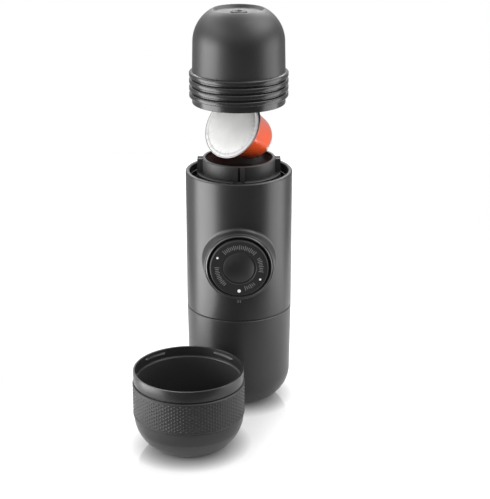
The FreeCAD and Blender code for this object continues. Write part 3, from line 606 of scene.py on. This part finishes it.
class Section:
    """A half-section drawn with operators, point by point: radius outwards and height up."""

    def __init__(self, radius: float, height: float) -> None:
        """Starts the line at one point."""
        self.mesh = bmesh.new()
        self.tip = self.mesh.verts.new((radius * MM, 0.0, height * MM))
        self.start = self.tip

    def line(self, *points: Point) -> "Section":
        """Goes straight from point to point."""
        for radius, height in points:
            self.tip = bmesh.ops.extrude_vert_indiv(self.mesh, verts=[self.tip])["verts"][0]
            self.tip.co = (radius * MM, 0.0, height * MM)
        return self

    def arc(self, radius: float, height: float, degrees: float, steps: int) -> "Section":
        """Goes round a centre, anticlockwise where degrees is above 0.

        Args:
            radius: The centre's distance from the axis.
            height: The centre's height.
            degrees: How far round.
            steps: How many pieces the arc has.

        Returns:
            The section itself.
        """
        made = bmesh.ops.spin(
            self.mesh, geom=[self.tip], cent=(radius * MM, 0.0, height * MM), axis=(0.0, -1.0, 0.0),
            angle=math.radians(degrees), steps=steps,
        )
        self.tip = [part for part in made["geom_last"] if isinstance(part, bmesh.types.BMVert)][0]
        return self

    def close(self) -> "Section":
        """Joins the last point to the first."""
        self.mesh.edges.new((self.tip, self.start))
        return self

    def spun(self, turns: float, steps: int, **settings: object) -> None:
        """Spins the section round its axis."""
        bmesh.ops.spin(self.mesh, geom=[*self.mesh.verts, *self.mesh.edges], cent=(0, 0, 0), axis=(0, 0, 1),
                       angle=math.tau * turns, steps=steps, **settings)

    def turned(self, steps: int = 128) -> BMesh:
        """Spins the section into a full ring with its faces outwards."""
        self.spun(1.0, steps, use_merge=True)
        bmesh.ops.remove_doubles(self.mesh, verts=self.mesh.verts, dist=1e-7)
        bmesh.ops.recalc_face_normals(self.mesh, faces=self.mesh.faces)
        return self.mesh

    def wound(self, pitch: float, turns: float, steps: int, start: float = 0.0,
              root: float | None = None, runout: float = 0.0) -> BMesh:
        """Winds a closed section into a helix with filled ends.

        Args:
            pitch: Rise of one turn.
            turns: How many turns.
            steps: Pieces in one turn.
            start: The angle that it starts at.
            root: The radius that its ends sink to.
            runout: The turns over which each end sinks.

        Returns:
            The wound mesh.
        """
        corners, count = len(self.mesh.verts), round(steps * turns)
        moved(self.mesh, turn(start, "Z"))
        self.spun(turns, count, dvec=(0, 0, pitch * MM * turns / count))
        self.mesh.verts.index_update()
        if root is not None:
            for vert in self.mesh.verts:
                step = vert.index // corners
                near = min(min(step, count - step) / max(runout * steps, 1.0), 1.0)
                flat = vert.co.xy
                reach = root * MM + (flat.length - root * MM) * near**2 * (3 - 2 * near)
                vert.co.xy = flat.normalized() * reach
        open_edges = [edge for edge in self.mesh.edges if edge.is_boundary]
        bmesh.ops.holes_fill(self.mesh, edges=open_edges, sides=0)
        bmesh.ops.recalc_face_normals(self.mesh, faces=self.mesh.faces)
        return self.mesh


def moved(mesh: BMesh, matrix: Matrix) -> BMesh:
    """The mesh, taken to a place."""
    bmesh.ops.transform(mesh, matrix=matrix, verts=mesh.verts)
    return mesh


def bevelled(mesh: BMesh, edges: list[bmesh.types.BMEdge], width: float, segments: int) -> BMesh:
    """The mesh with some of its edges rounded."""
    bmesh.ops.bevel(
        mesh, geom=edges, offset=width * MM, offset_type="OFFSET", affect="EDGES", segments=segments,
        profile=0.5, material=-1, clamp_overlap=True,
    )
    return mesh


def softened(mesh: BMesh, width: float, sharper_than: float = 25.0, segments: int = 3,
             above: float = -math.inf) -> BMesh:
    """Rounds the edges of a mesh that are sharper than an angle.

    Args:
        mesh: The mesh.
        width: The round's width.
        sharper_than: The least angle between two faces.
        segments: Pieces across the round.
        above: The height that an edge has to be over.

    Returns:
        The mesh itself.
    """
    limit = math.radians(sharper_than)
    edges = [edge for edge in mesh.edges if edge.is_manifold and edge.calc_face_angle(0.0) > limit
             and min(vert.co.z for vert in edge.verts) > above * MM]
    return bevelled(mesh, edges, width, segments)


def block(length: float, width: float, height: float) -> BMesh:
    """A bar round the origin."""
    mesh = bmesh.new()
    bmesh.ops.create_cube(mesh, size=1.0)
    return moved(mesh, Matrix.Diagonal((length * MM, width * MM, height * MM, 1.0)))


def merged(meshes: list[BMesh]) -> BMesh:
    """Several meshes as one; they are used up."""
    whole = bmesh.new()
    for mesh in meshes:
        scratch = bpy.data.meshes.new("scratch")
        mesh.to_mesh(scratch)
        mesh.free()
        whole.from_mesh(scratch)
        bpy.data.meshes.remove(scratch)
    return whole


def repeated(mesh: BMesh, places: list[Matrix]) -> BMesh:
    """A copy of one mesh at each of the places; the mesh itself is used up."""
    copies = [moved(mesh.copy(), place) for place in places]
    mesh.free()
    return merged(copies)


def linked(name: str, data: bpy.types.ID) -> bpy.types.Object:
    """A new object of that data, in the scene."""
    made = bpy.data.objects.new(name, data)
    bpy.context.scene.collection.objects.link(made)
    return made


def mesh_object(name: str, mesh: BMesh, finish: Finish) -> bpy.types.Object:
    """A new object of a mesh, which is used up, in its finish."""
    data = bpy.data.meshes.new(name)
    mesh.to_mesh(data)
    mesh.free()
    data.materials.append(finish.build())
    return linked(name, data)


def piece(name: str, mesh: BMesh, finish: Finish, body: Body,
          crease: float = 35.0) -> bpy.types.Object:
    """Turns a mesh into a finished piece that rides on a body.

    Args:
        name: The piece's name.
        mesh: Its mesh, already in place; it is used up.
        finish: Its finish.
        body: The body it rides on.
        crease: Edges sharper than this stay crisp.

    Returns:
        The piece.
    """
    made = mesh_object(name, mesh, finish)
    made.data.shade_smooth()
    made.data.set_sharp_from_angle(angle=math.radians(crease))
    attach(made, body.value)
    log.info("%s: %d faces on %s", name, len(made.data.polygons), body.value)
    return made


@dataclass(frozen=True)
class Thread:
    """A rib wound onto a wall that it grows out of.

    stand is below 0 where the rib points inwards. root and crest are the lower and upper edges of its foot
    and of its outer face, measured from middle.
    """

    wall: float
    stand: float
    middle: float
    root: Point
    crest: Point
    pitch: float
    turns: float
    start: float
    runout: float
    steps: int = 96
    sunk: float = 0.3

    def wound(self) -> BMesh:
        """Winds the rib; its ends run out into the wall."""
        inward = math.copysign(self.sunk, -self.stand)
        foot, face = self.wall + inward, self.wall + self.stand
        (root_low, root_high), (low, high) = self.root, self.crest
        rib = Section(foot, self.middle + root_low).line(
            (foot, self.middle + root_high), (face, self.middle + high), (face, self.middle + low))
        return rib.close().wound(self.pitch, self.turns, self.steps, self.start, self.wall + 0.5 * inward,
                                 self.runout)


@dataclass
class Casing:
    """The casing's fine pieces: the lining round its knob, its mouth thread, an index and its screws."""

    mouth: Thread = Thread(wall=27.3, stand=-0.28, middle=126.6, root=(-0.55, 0.55), crest=(-0.1375, 0.1375),
                           pitch=3.6, turns=1.9, start=20.0, runout=0.12)
    radius: float = 29.5
    index_height: float = 69.0
    index_size: Colour = (0.45, 0.08, 1.5)
    index_spacing: float = 1.25
    screw_circle: float = 19.0
    screw_first: float = 45.0
    screw_head: float = 1.9
    screw_crown: float = 0.55
    screw_rise: float = 0.9
    painted_cross_shade_size: Colour = (2.0, 0.42, 0.1)
    deck_height: float = 67.2
    knob_height: float = 91.0
    lining_bore: float = 16.25
    lining_radius: float = 17.45
    lining_back: float = 15.5
    lining_front: float = 34.4
    lining_flare: float = 1.2
    lip_radius: float = 18.05
    lip_rise: float = 0.5
    lip_slope: float = 0.4
    lip_foot: float = 0.1
    lip_inset: float = 0.2

    def lining(self) -> None:
        """The soft black lining round the knob, its glossy lip just proud of the boss."""
        bore, radius, lip = self.lining_bore, self.lining_radius, self.lip_radius
        length = self.lining_front - self.lining_back
        top = length + self.lip_rise
        ring = Section(bore, 0.0).line(
            (radius, 0.0), (radius, length), (lip, length), (lip, length + self.lip_foot),
            (lip - self.lip_slope, top), (radius - self.lip_inset, top), (bore, length - self.lining_flare))
        mesh = softened(ring.close().turned(), 0.15, 30.0)
        moved(mesh, shift(0, -self.lining_back, self.knob_height) @ Facing.FRONT.matrix())
        lining = piece("knob_lining", mesh, LINING, Body.CASING, 50.0)
        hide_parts("bore_sleeve")

    def index_marks(self) -> None:
        """Two short printed ticks under the knob."""
        places = []
        for across in (-0.5 * self.index_spacing, 0.5 * self.index_spacing):
            places.append(shift(across, -math.sqrt(self.radius**2 - across**2), self.index_height))
        ticks = repeated(block(*self.index_size), places)
        piece("casing_index_ticks", ticks, GREY_PRINT, Body.CASING)

    def base_screws(self) -> None:
        """Four round-headed screws under the base plate, each with a black cross laid on as painted shade for
        its recess.
        """
        head, rise = self.screw_head, self.screw_rise
        screw = Section(0.0, 0.0).line((head, 0.0), (head, -0.35 * rise), (self.screw_crown * head, -rise),
                                       (0.0, -rise))
        mesh = softened(screw.turned(40), 0.12, 20.0, 2)
        # A thin black cross on each crown: painted shade standing in for the cross recess.
        length, width, height = self.painted_cross_shade_size
        cross = moved(merged([block(length, width, height), block(width, length, height)]), shift(0, 0, -rise))
        spots = []
        for quarter in range(4):
            degrees = self.screw_first + 90 * quarter
            arm = Vector((math.cos(math.radians(degrees)), math.sin(math.radians(degrees)))) * self.screw_circle
            spots.append(shift(arm.x, arm.y, self.deck_height) @ turn(degrees / 3, "Z"))
        piece("base_screws", repeated(mesh, spots), SCREW, Body.CASING)
        piece("base_screw_painted_cross_shade", repeated(cross, spots), SLEEVE, Body.CASING)

    def build(self) -> None:
        """Builds the casing's fine pieces."""
        self.lining()
        piece("casing_mouth_thread", self.mouth.wound(), THREAD, Body.CASING)
        self.index_marks()
        self.base_screws()


@dataclass
class Tank:
    """The water tank's neck thread."""

    neck: Thread = Thread(wall=26.75, stand=0.26, middle=58.6, root=(-0.6, 0.6), crest=(-0.18, 0.18),
                          pitch=3.2, turns=1.5, start=200.0, runout=0.1)

    def build(self) -> None:
        """Winds the rib round the neck."""
        piece("tank_neck_thread", self.neck.wound(), THREAD, Body.TANK)


@dataclass
class Spring:
    """The return spring between the guide collar and the knob."""

    radius: float = 11.0
    wire: float = 1.4
    turns: float = 4.5
    back: float = -15.7
    front: float = -28.8
    height: float = 91.0
    corners: int = 16

    def build(self) -> None:
        """Winds the wire and lays it along the pump."""
        half, around = 0.5 * self.wire, 360 - 360 / self.corners
        coil = Section(self.radius + half, half).arc(self.radius, half, around, self.corners - 1).close()
        rise = abs(self.front - self.back) - self.wire
        mesh = coil.wound(rise / self.turns, self.turns, 48)
        moved(mesh, shift(0, self.back, self.height) @ Facing.FRONT.matrix())
        coil_piece = mesh_object("return_spring", mesh, SPRING)
        coil_piece.data.shade_smooth()
        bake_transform(coil_piece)
        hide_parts("piston_spring")
        log.info("return_spring: %d faces between casing and piston", len(coil_piece.data.polygons))


@dataclass
class Knob:
    """The printed marks on the pump knob's face: three dots and a ring of plain ticks."""

    face: float = -36.4
    height: float = 91.0
    dot_circle: float = 13.1
    dots: tuple[Point, ...] = ((270.0, 0.95), (152.7, 0.62), (-29.2, 0.62))  # angle and radius
    print_rise: float = 0.05
    tick_circle: float = 12.0
    tick_length: float = 2.7
    tick_short: float = 0.72
    tick_width: float = 0.34
    tick_step: float = 4.8
    tick_arcs: tuple[Point, ...] = ((45.0, 132.0), (-9.0, 28.0), (-74.0, -48.0), (178.0, 230.0))

    def spot(self, degrees: float, circle: float) -> Matrix:
        """A place on the face, turned so that its own X points outwards."""
        return shift(0, self.face, self.height) @ turn(-degrees, "Y") @ shift(circle, 0, 0)

    def build(self) -> None:
        """A big dot at the foot with small ones at either side, and ticks in arcs, every third one longer."""
        discs, bars = [], []
        for degrees, radius in self.dots:
            disc = bmesh.new()
            bmesh.ops.create_cone(disc, cap_ends=True, segments=28, radius1=radius * MM, radius2=radius * MM,
                                  depth=2 * self.print_rise * MM)
            discs.append(moved(disc, self.spot(degrees, self.dot_circle) @ Facing.FRONT.matrix()))
        for first, last in self.tick_arcs:
            count = round((last - first) / self.tick_step)
            for number in range(count + 1):
                length = self.tick_length * (self.tick_short if number % 3 else 1.0)
                bar = block(length, 2 * self.print_rise, self.tick_width)
                bars.append(moved(bar, self.spot(first + (last - first) * number / count, self.tick_circle)))
        piece("knob_dots", merged(discs), WHITE_PRINT, Body.KNOB)
        piece("knob_ticks", merged(bars), GREY_PRINT, Body.KNOB)


@dataclass
class Head:
    """The outlet head: two collars and two wound threads at its foot, and a dome with a sunk top."""

    base: float = 174.0
    height: float = 51.0
    lip: float = 25.4
    mouth: float = 23.6
    lip_height: float = 3.0
    collar_slope: float = 0.6
    collar_stand: float = 0.35
    dome: float = 24.9
    dome_round: float = 20.0
    wall: float = 1.8
    recess: float = 13.8
    recess_floor: float = 12.2
    recess_depth: float = 2.0
    nozzle: float = 4.45
    step_height: float = 22.75
    step_rise: float = 1.4
    edge: float = 0.35
    rib_radius: float = 26.9
    rib_pitch: float = 3.7
    rib_half: float = 1.6
    rib_flat: float = 1.1
    rib_bevel: float = 0.3
    rib_sunk: float = 0.4
    thread_slope: float = 0.9
    thread_turns: float = 0.99
    thread_start: float = 91.0
    thread_runout: float = 0.12

    def shell(self) -> None:
        """The head's wall, turned in one piece."""
        hub = self.dome - self.dome_round
        run = self.recess - hub
        spring = self.height - math.sqrt(self.dome_round**2 - run**2)
        sweep = math.degrees(math.acos(run / self.dome_round))
        inner = self.dome_round - self.wall
        floor = self.height - self.recess_depth
        shelf = floor - self.wall
        fall = math.degrees(math.asin((shelf - spring) / inner))
        collar = self.lip_height + 4 * self.rib_pitch
        wall = Section(self.mouth, 0.0).line(
            (self.lip, 0.0), (self.lip, collar - self.collar_slope), (self.dome + self.collar_stand, collar),
            (self.dome, spring)).arc(hub, spring, sweep, 22)
        wall.line((self.recess_floor, floor), (self.nozzle, floor), (self.nozzle, shelf),
                  (hub + inner * math.cos(math.radians(fall)), shelf)).arc(hub, spring, -fall, 14)
        wall.line((self.dome - self.wall, self.step_height + self.step_rise), (self.mouth, self.step_height))
        mesh = softened(wall.close().turned(160), self.edge, 28.0)
        moved(mesh, shift(0, 0, self.base))
        shell = piece("head_shell", mesh, HEAD, Body.HEAD, 30.0)
        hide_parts("head_dome")

    def rib(self, middle: float) -> Section:
        """The section of one rib round a middle height."""
        root, crest, bevel = self.lip - self.rib_sunk, self.rib_radius, self.rib_bevel
        low, high = middle - self.rib_flat, middle + self.rib_flat
        return Section(root, middle - self.rib_half).line(
            (crest - bevel, low - 0.1), (crest, low + bevel), (crest, high - bevel),
            (crest - bevel, high + 0.1), (root, middle + self.rib_half)).close()

    def ribs(self) -> None:
        """The two collars under the dome and the two quick threads that are wound below them."""
        top = self.lip_height + 3.5 * self.rib_pitch
        rings = [self.rib(top).turned(160), self.rib(top - self.rib_pitch).turned(160)]
        for number in (2, 3):
            start = self.rib(top - number * self.rib_pitch - 0.5 * self.thread_slope)
            rings.append(start.wound(self.thread_slope, self.thread_turns, 128, self.thread_start,
                                     self.lip - self.rib_sunk + 0.3, self.thread_runout))
        mesh = moved(merged(rings), shift(0, 0, self.base))
        piece("head_thread", mesh, THREAD, Body.HEAD, 40.0)

    def build(self) -> None:
        """Builds the shell and its ribs."""
        self.shell()
        self.ribs()


@dataclass
class Capsule:
    """The coffee capsule, tipped as it goes into the holder."""

    azimuth: float = 40.0
    tilt: float = 60.0
    forward: float = 5.0
    height: float = 161.1
    flange: float = 18.1
    edge: float = 0.8
    top: float = 14.9
    waist: float = 12.0
    waist_round: float = 2.4
    base: float = 7.6
    depth: float = 27.5
    base_rise: float = 6.5
    wall: float = 0.6
    lid: float = 17.3
    lid_rise: float = 0.25
    steps: int = 144

    def place(self) -> Matrix:
        """The matrix that takes the capsule's own axes to its rest pose."""
        heading = math.radians(self.azimuth)
        ahead = Vector((-math.sin(heading), -math.cos(heading), 0))
        spot = ahead * self.forward
        return shift(spot.x, spot.y, self.height) @ turn(self.tilt, Vector((0, 0, 1)).cross(ahead))

    def cup(self) -> None:
        """The drawn and lacquered cup: tapered wall, bent waist and a stepped base."""
        foot, thin, base, waist = -self.depth, self.wall, self.base, self.waist
        bend, floor = foot + self.base_rise, foot + 2 * thin + 0.4
        wall = Section(0.0, foot + 0.9).line(
            (0.42 * base, foot + 0.9), (0.5 * base, foot + 0.25), (0.72 * base, foot + 0.25),
            (0.78 * base, foot), (base - 0.3, foot), (base + 0.35, foot + 0.7), (waist, bend),
            (self.top - 0.05, -thin - 0.35),
            (self.top + thin, -0.02), (self.top + thin, 0.2), (self.top - thin, 0.2), (waist - thin, bend),
            (base - 0.5 * thin, floor), (0.0, floor))
        mesh = softened(wall.turned(self.steps), 0.5, 30.0, 4)
        ring = [edge for edge in mesh.edges if all(
            abs(vert.co.xy.length - waist * MM) < 1e-6 and abs(vert.co.z - bend * MM) < 1e-6
            for vert in edge.verts)]
        moved(bevelled(mesh, ring, self.waist_round, 10), self.place())
        cup = piece("capsule_wall", mesh, RED, Body.CAPSULE, 50.0)
        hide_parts("capsule_cup")

    def rim(self) -> None:
        """The bare rolled flange, its metal darkened as a painted dark reflection."""
        roll, inner = 0.5 * self.edge, self.top + 0.35
        ring = Section(inner, 0.05).line((self.flange - roll, 0.0)).arc(self.flange - roll, roll, 180.0, 10)
        ring.line((self.lid - 0.2, self.edge), (inner, self.edge - 0.1))
        mesh = moved(ring.close().turned(self.steps), self.place())
        piece("capsule_rim", mesh, RIM_WITH_PAINTED_REFLECTION, Body.CAPSULE, 40.0)

    def foil(self) -> None:
        """The foil lid with its crimped ring."""
        low, high, lid = self.edge + 0.02, self.edge + self.lid_rise, self.lid
        section = Section(0.0, low).line(
            (lid, low), (lid, high - 0.08), (lid - 0.15, high - 0.02), (lid - 1.5, high - 0.02),
            (lid - 1.8, high - 0.12), (lid - 2.2, high - 0.12), (lid - 2.6, high), (0.55 * lid, high - 0.03),
            (0.0, high - 0.05))
        place = self.place()
        finish = FoilLid("capsule_lid", FOIL_COLOUR, place.to_translation(), place.to_3x3())
        mesh = moved(section.turned(self.steps), place)
        lid_piece = piece("capsule_foil_lid", mesh, finish, Body.CAPSULE, 40.0)
        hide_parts("capsule_foil")

    def build(self) -> None:
        """Builds the cup, its flange and its lid."""
        self.cup()
        self.rim()
        self.foil()


@dataclass
class Cup:
    """The drinking cup: bowl, knurled grip and the thread lugs in its mouth."""

    left: float = 27.1
    front: float = 62.9
    grip_radius: float = 29.98
    grip_edge: float = 0.45
    grip_seat: float = 28.6
    grip_low: float = 19.3
    grip_high: float = 37.3
    columns: int = 120
    rows: int = 16
    plain: float = 0.9
    knurl_depth: float = 0.2
    stud: float = 0.78
    stud_slope: float = 0.42
    foot: float = 16.5
    radius: float = 29.5
    wall: float = 2.0
    bowl_height: float = 19.2
    bowl_round: float = 20.5
    groove: float = 28.9
    groove_top: float = 38.1
    step: float = 38.8
    step_edge: float = 0.4
    mouth: float = 28.5
    height: float = 44.3
    rim_sharper_than: float = 34.4
    lug: Thread = Thread(wall=28.5, stand=-0.95, middle=41.8, root=(-0.6, 0.85), crest=(-0.45, -0.1),
                         pitch=3.6, turns=29.0 / 360, start=0.0, runout=0.006, steps=144)
    lug_angles: tuple[float, ...] = (34.5, 118.5, 214.5, 298.5)

    def place(self) -> Matrix:
        """Where the cup stands."""
        return shift(-self.left, -self.front, 0)

    @staticmethod
    def swing(first: Point, last: Point, bend: float) -> tuple[float, float, float]:
        """The arc that leads outwards and up from one point to another.

        Args:
            first: Radius and height of its foot.
            last: Radius and height of its top.
            bend: The arc's own radius.

        Returns:
            The centre's radius and height, and the arc's sweep.
        """
        chord = Vector(last) - Vector(first)
        rise = math.sqrt(bend**2 - (chord.length / 2) ** 2)
        centre = (Vector(first) + Vector(last)) / 2 + Vector((-chord.y, chord.x)).normalized() * rise
        return centre.x, centre.y, 2 * math.degrees(math.asin(chord.length / 2 / bend))

    def bowl(self) -> None:
        """The cup's wall: bowl, seat for the grip, groove, rim band and the step inside its mouth."""
        foot, low, inner, seat = self.foot, self.bowl_height, self.radius - self.wall, self.grip_seat - 0.1
        bottom, rise = self.grip_high + 0.1, self.step - self.step_edge
        outside = self.swing((foot, 0.0), (self.radius, low), self.bowl_round)
        across, up, sweep = self.swing((foot, self.wall), (inner, low), self.bowl_round - self.wall)
        shape = Section(0.0, 0.0).line((foot, 0.0)).arc(*outside, 20).line(
            (seat, low), (seat, bottom), (self.groove, bottom), (self.groove, self.groove_top),
            (self.radius, self.groove_top), (self.radius, self.height), (self.mouth, self.height),
            (self.mouth, self.step), (inner + self.step_edge, self.step), (inner, rise), (inner, low))
        shape.arc(across, up, -sweep, 20).line((0.0, self.wall))
        mesh = softened(shape.turned(160), 0.3, self.rim_sharper_than, above=self.groove_top - 0.05)
        bowl = piece("cup_bowl", moved(mesh, self.place()), CUP, Body.CUP, 28.0)
        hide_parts("cup_shell")

    def grip(self) -> None:
        """The grip sleeve: plain lips and a field of staggered pointed studs between them."""
        full, skin, edge = self.grip_radius, self.grip_radius - self.knurl_depth, self.grip_edge
        foot, top = self.grip_low, self.grip_high
        low, high = foot + self.plain, top - self.plain
        sleeve = Section(self.grip_seat, foot).line(
            (full - edge, foot), (full, foot + 0.4), (full, low - 0.15), (skin, low))
        sleeve.line(*((skin, low + (high - low) * row / self.rows) for row in range(1, self.rows + 1)))
        sleeve.line((full, high + 0.15), (full, top - 0.4), (full - edge, top), (self.grip_seat, top))
        mesh = sleeve.close().turned(self.columns)
        row_height, points = (high - low) / self.rows * MM, []
        for vert in mesh.verts:
            row = (vert.co.z - low * MM) / row_height
            column = math.atan2(vert.co.y, vert.co.x) / math.tau * self.columns
            on_floor = abs(vert.co.xy.length - skin * MM) < 1e-5 and 0.5 < row < self.rows - 0.5
            if on_floor and (round(row) + round(column)) % 2:
                points.append(vert)
        studs = bmesh.ops.bevel(mesh, geom=points, offset=self.stud * MM, offset_type="OFFSET",
                                affect="VERTICES", segments=1, profile=0.5, material=-1)["faces"]
        bmesh.ops.inset_individual(mesh, faces=studs, thickness=self.stud_slope * MM,
                                   depth=self.knurl_depth * MM)
        sleeve_piece = piece("cup_grip", moved(mesh, self.place()), GRIP, Body.CUP, 16.0)
        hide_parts("cup_grip_sleeve")
        log.info("cup_grip: %d points", len(points))

    def lugs(self) -> None:
        """Four short thread lugs inside the mouth."""
        lugs = [softened(replace(self.lug, start=angle).wound(), 0.12, 30.0, 2) for angle in self.lug_angles]
        piece("cup_lugs", moved(merged(lugs), self.place()), CUP, Body.CUP)

    def build(self) -> None:
        """Builds the bowl, the grip and the lugs."""
        self.bowl()
        self.grip()
        self.lugs()


@dataclass
class Lamp:
    """A soft rectangular lamp that faces a point; its sizes are in metres."""

    name: str
    spot: tuple[float, float, float]
    aim: tuple[float, float, float]
    width: float
    height: float
    watts: float

    def build(self) -> None:
        """Places the lamp."""
        data = bpy.data.lights.new(self.name, "AREA")
        data.shape, data.size, data.size_y, data.energy = "RECTANGLE", self.width, self.height, self.watts
        lamp = linked(self.name, data)
        lamp.location = self.spot
        way = Vector(self.aim) - Vector(self.spot)
        lamp.rotation_euler = way.to_track_quat("-Z", "Y").to_euler()
        lamp.visible_camera = False


@dataclass
class Studio:
    """White table, white surround, softboxes and the camera; its sizes are in metres."""

    camera_back: float = 0.7375
    camera_height: float = 0.3575
    pitch: float = 20.03
    yaw: float = 0.26
    focal_pixels: float = 1390.6
    frame_pixels: float = 499.0
    table_left: float = -0.14
    table_right: float = 0.19
    table_front: float = -0.135
    table_back: float = 0.5
    ambient: Colour = (0.62, 0.62, 0.62)
    behind: Ramp = (-0.5, 0.35, 0.03, 0.42)
    above: Ramp = (0.12, 0.5, 0.0, 0.9)
    backdrop_rise: Ramp = (0.02, 0.14, 0.0, 1.0)
    backdrop_side: Ramp = (0.45, 0.6, 1.0, 0.0)
    backdrop_depth: Ramp = (0.3, 0.75, 0.0, 1.0)
    flank_side: Ramp = (0.35, 0.75, 0.0, 1.0)
    flank_rise: Ramp = (0.3, 0.6, 0.0, 2.2)
    lamps: list[Lamp] = field(default_factory=lambda: [
        Lamp("left_softbox", (-0.52, -0.13, -0.02), (0, -0.01, 0.02), 0.52, 0.64, 7.6),
        Lamp("right_softbox", (0.55, -0.03, -0.02), (0, -0.01, 0.02), 0.46, 0.64, 3.1),
        Lamp("back_softbox", (0.0, 0.45, 0.62), (0, 0, 0.05), 0.6, 0.4, 4.5),
        Lamp("top_softbox", (0.34, -0.04, 0.7), (0, -0.02, 0.0), 0.5, 0.5, 1.9),
    ])

    def floor(self) -> None:
        """The glossy white table top."""
        mesh = bmesh.new()
        bmesh.ops.create_grid(mesh, x_segments=1, y_segments=1, size=1.0)
        wide, deep = 0.5 * (self.table_right - self.table_left), 0.5 * (self.table_back - self.table_front)
        middle = Matrix.Translation((self.table_left + wide, self.table_front + deep, 0))
        table = mesh_object("table_top", moved(mesh, middle @ Matrix.Diagonal((wide, deep, 1.0, 1.0))), TABLE)
        table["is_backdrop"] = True

    def surround(self) -> None:
        """White to the camera; to reflections a dark front, a bright top and backdrop, and bright flanks."""
        world = bpy.data.worlds.new("studio")
        world.use_nodes = True
        bpy.context.scene.world = world
        graph = Graph(world.node_tree)
        across, along, up = graph.split(graph.place("Generated"))
        side = graph.maths("ABSOLUTE", across)
        backdrop = graph.fold("MULTIPLY", graph.remap(up, *self.backdrop_rise),
                              graph.remap(side, *self.backdrop_side), graph.remap(along, *self.backdrop_depth))
        flank = graph.maths("MULTIPLY", graph.remap(side, *self.flank_side), graph.remap(up, *self.flank_rise))
        mirrored = graph.maths("ADD", flank, graph.fold(
            "MAXIMUM", graph.remap(along, *self.behind), graph.remap(up, *self.above), backdrop))
        glossy_ray = graph.add("LightPath").outputs["Is Glossy Ray"]
        colour = graph.blend(graph.seen(), graph.blend(glossy_ray, self.ambient, mirrored), WHITE)
        graph.dress(world.node_tree.nodes["Background"], Color=colour, Strength=1.0)

    def camera(self) -> None:
        """The camera at the photograph's place."""
        data = bpy.data.cameras.new("camera")
        data.sensor_width = 36.0
        data.lens = self.focal_pixels / self.frame_pixels * data.sensor_width
        data.clip_start, data.clip_end = 0.01, 20.0
        camera = linked("camera", data)
        camera.location = (0.0, -self.camera_back, self.camera_height)
        camera.rotation_euler = (math.radians(90 - self.pitch), 0.0, math.radians(-self.yaw))
        bpy.context.scene.camera = camera

    def build(self) -> None:
        """Builds the studio."""
        self.floor()
        self.surround()
        self.camera()
        for lamp in self.lamps:
            lamp.build()
        bpy.context.scene.view_settings.view_transform = "Standard"


def dress_nodes() -> None:
    """Gives every solid of the frame its finish."""
    for finish, names in NODE_FINISHES.items():
        for name in names:
            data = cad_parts[name].data
            data.materials.clear()
            data.materials.append(finish.build())
    log.info("%d solids dressed", sum(map(len, NODE_FINISHES.values())))


def write_sizes(first: tuple[Vector, Vector], last: tuple[Vector, Vector]) -> None:
    """Gathers the box of the solids and of the visual model into a dictionary that nothing uses."""
    sizes = {name: [list(corner) for corner in box] for name, box in (("cad", first), ("visual", last))}


def main() -> None:
    """Builds the looks in order."""
    logging.basicConfig(level=logging.INFO, format="%(message)s")
    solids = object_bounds()
    dress_nodes()
    for part in (Casing(), Tank(), Spring(), Knob(), Head(), Capsule(), Cup()):
        part.build()
        log.info("%s built", type(part).__name__)
    Studio().build()
    write_sizes(solids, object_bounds())


if __name__ == "__main__":
    main()
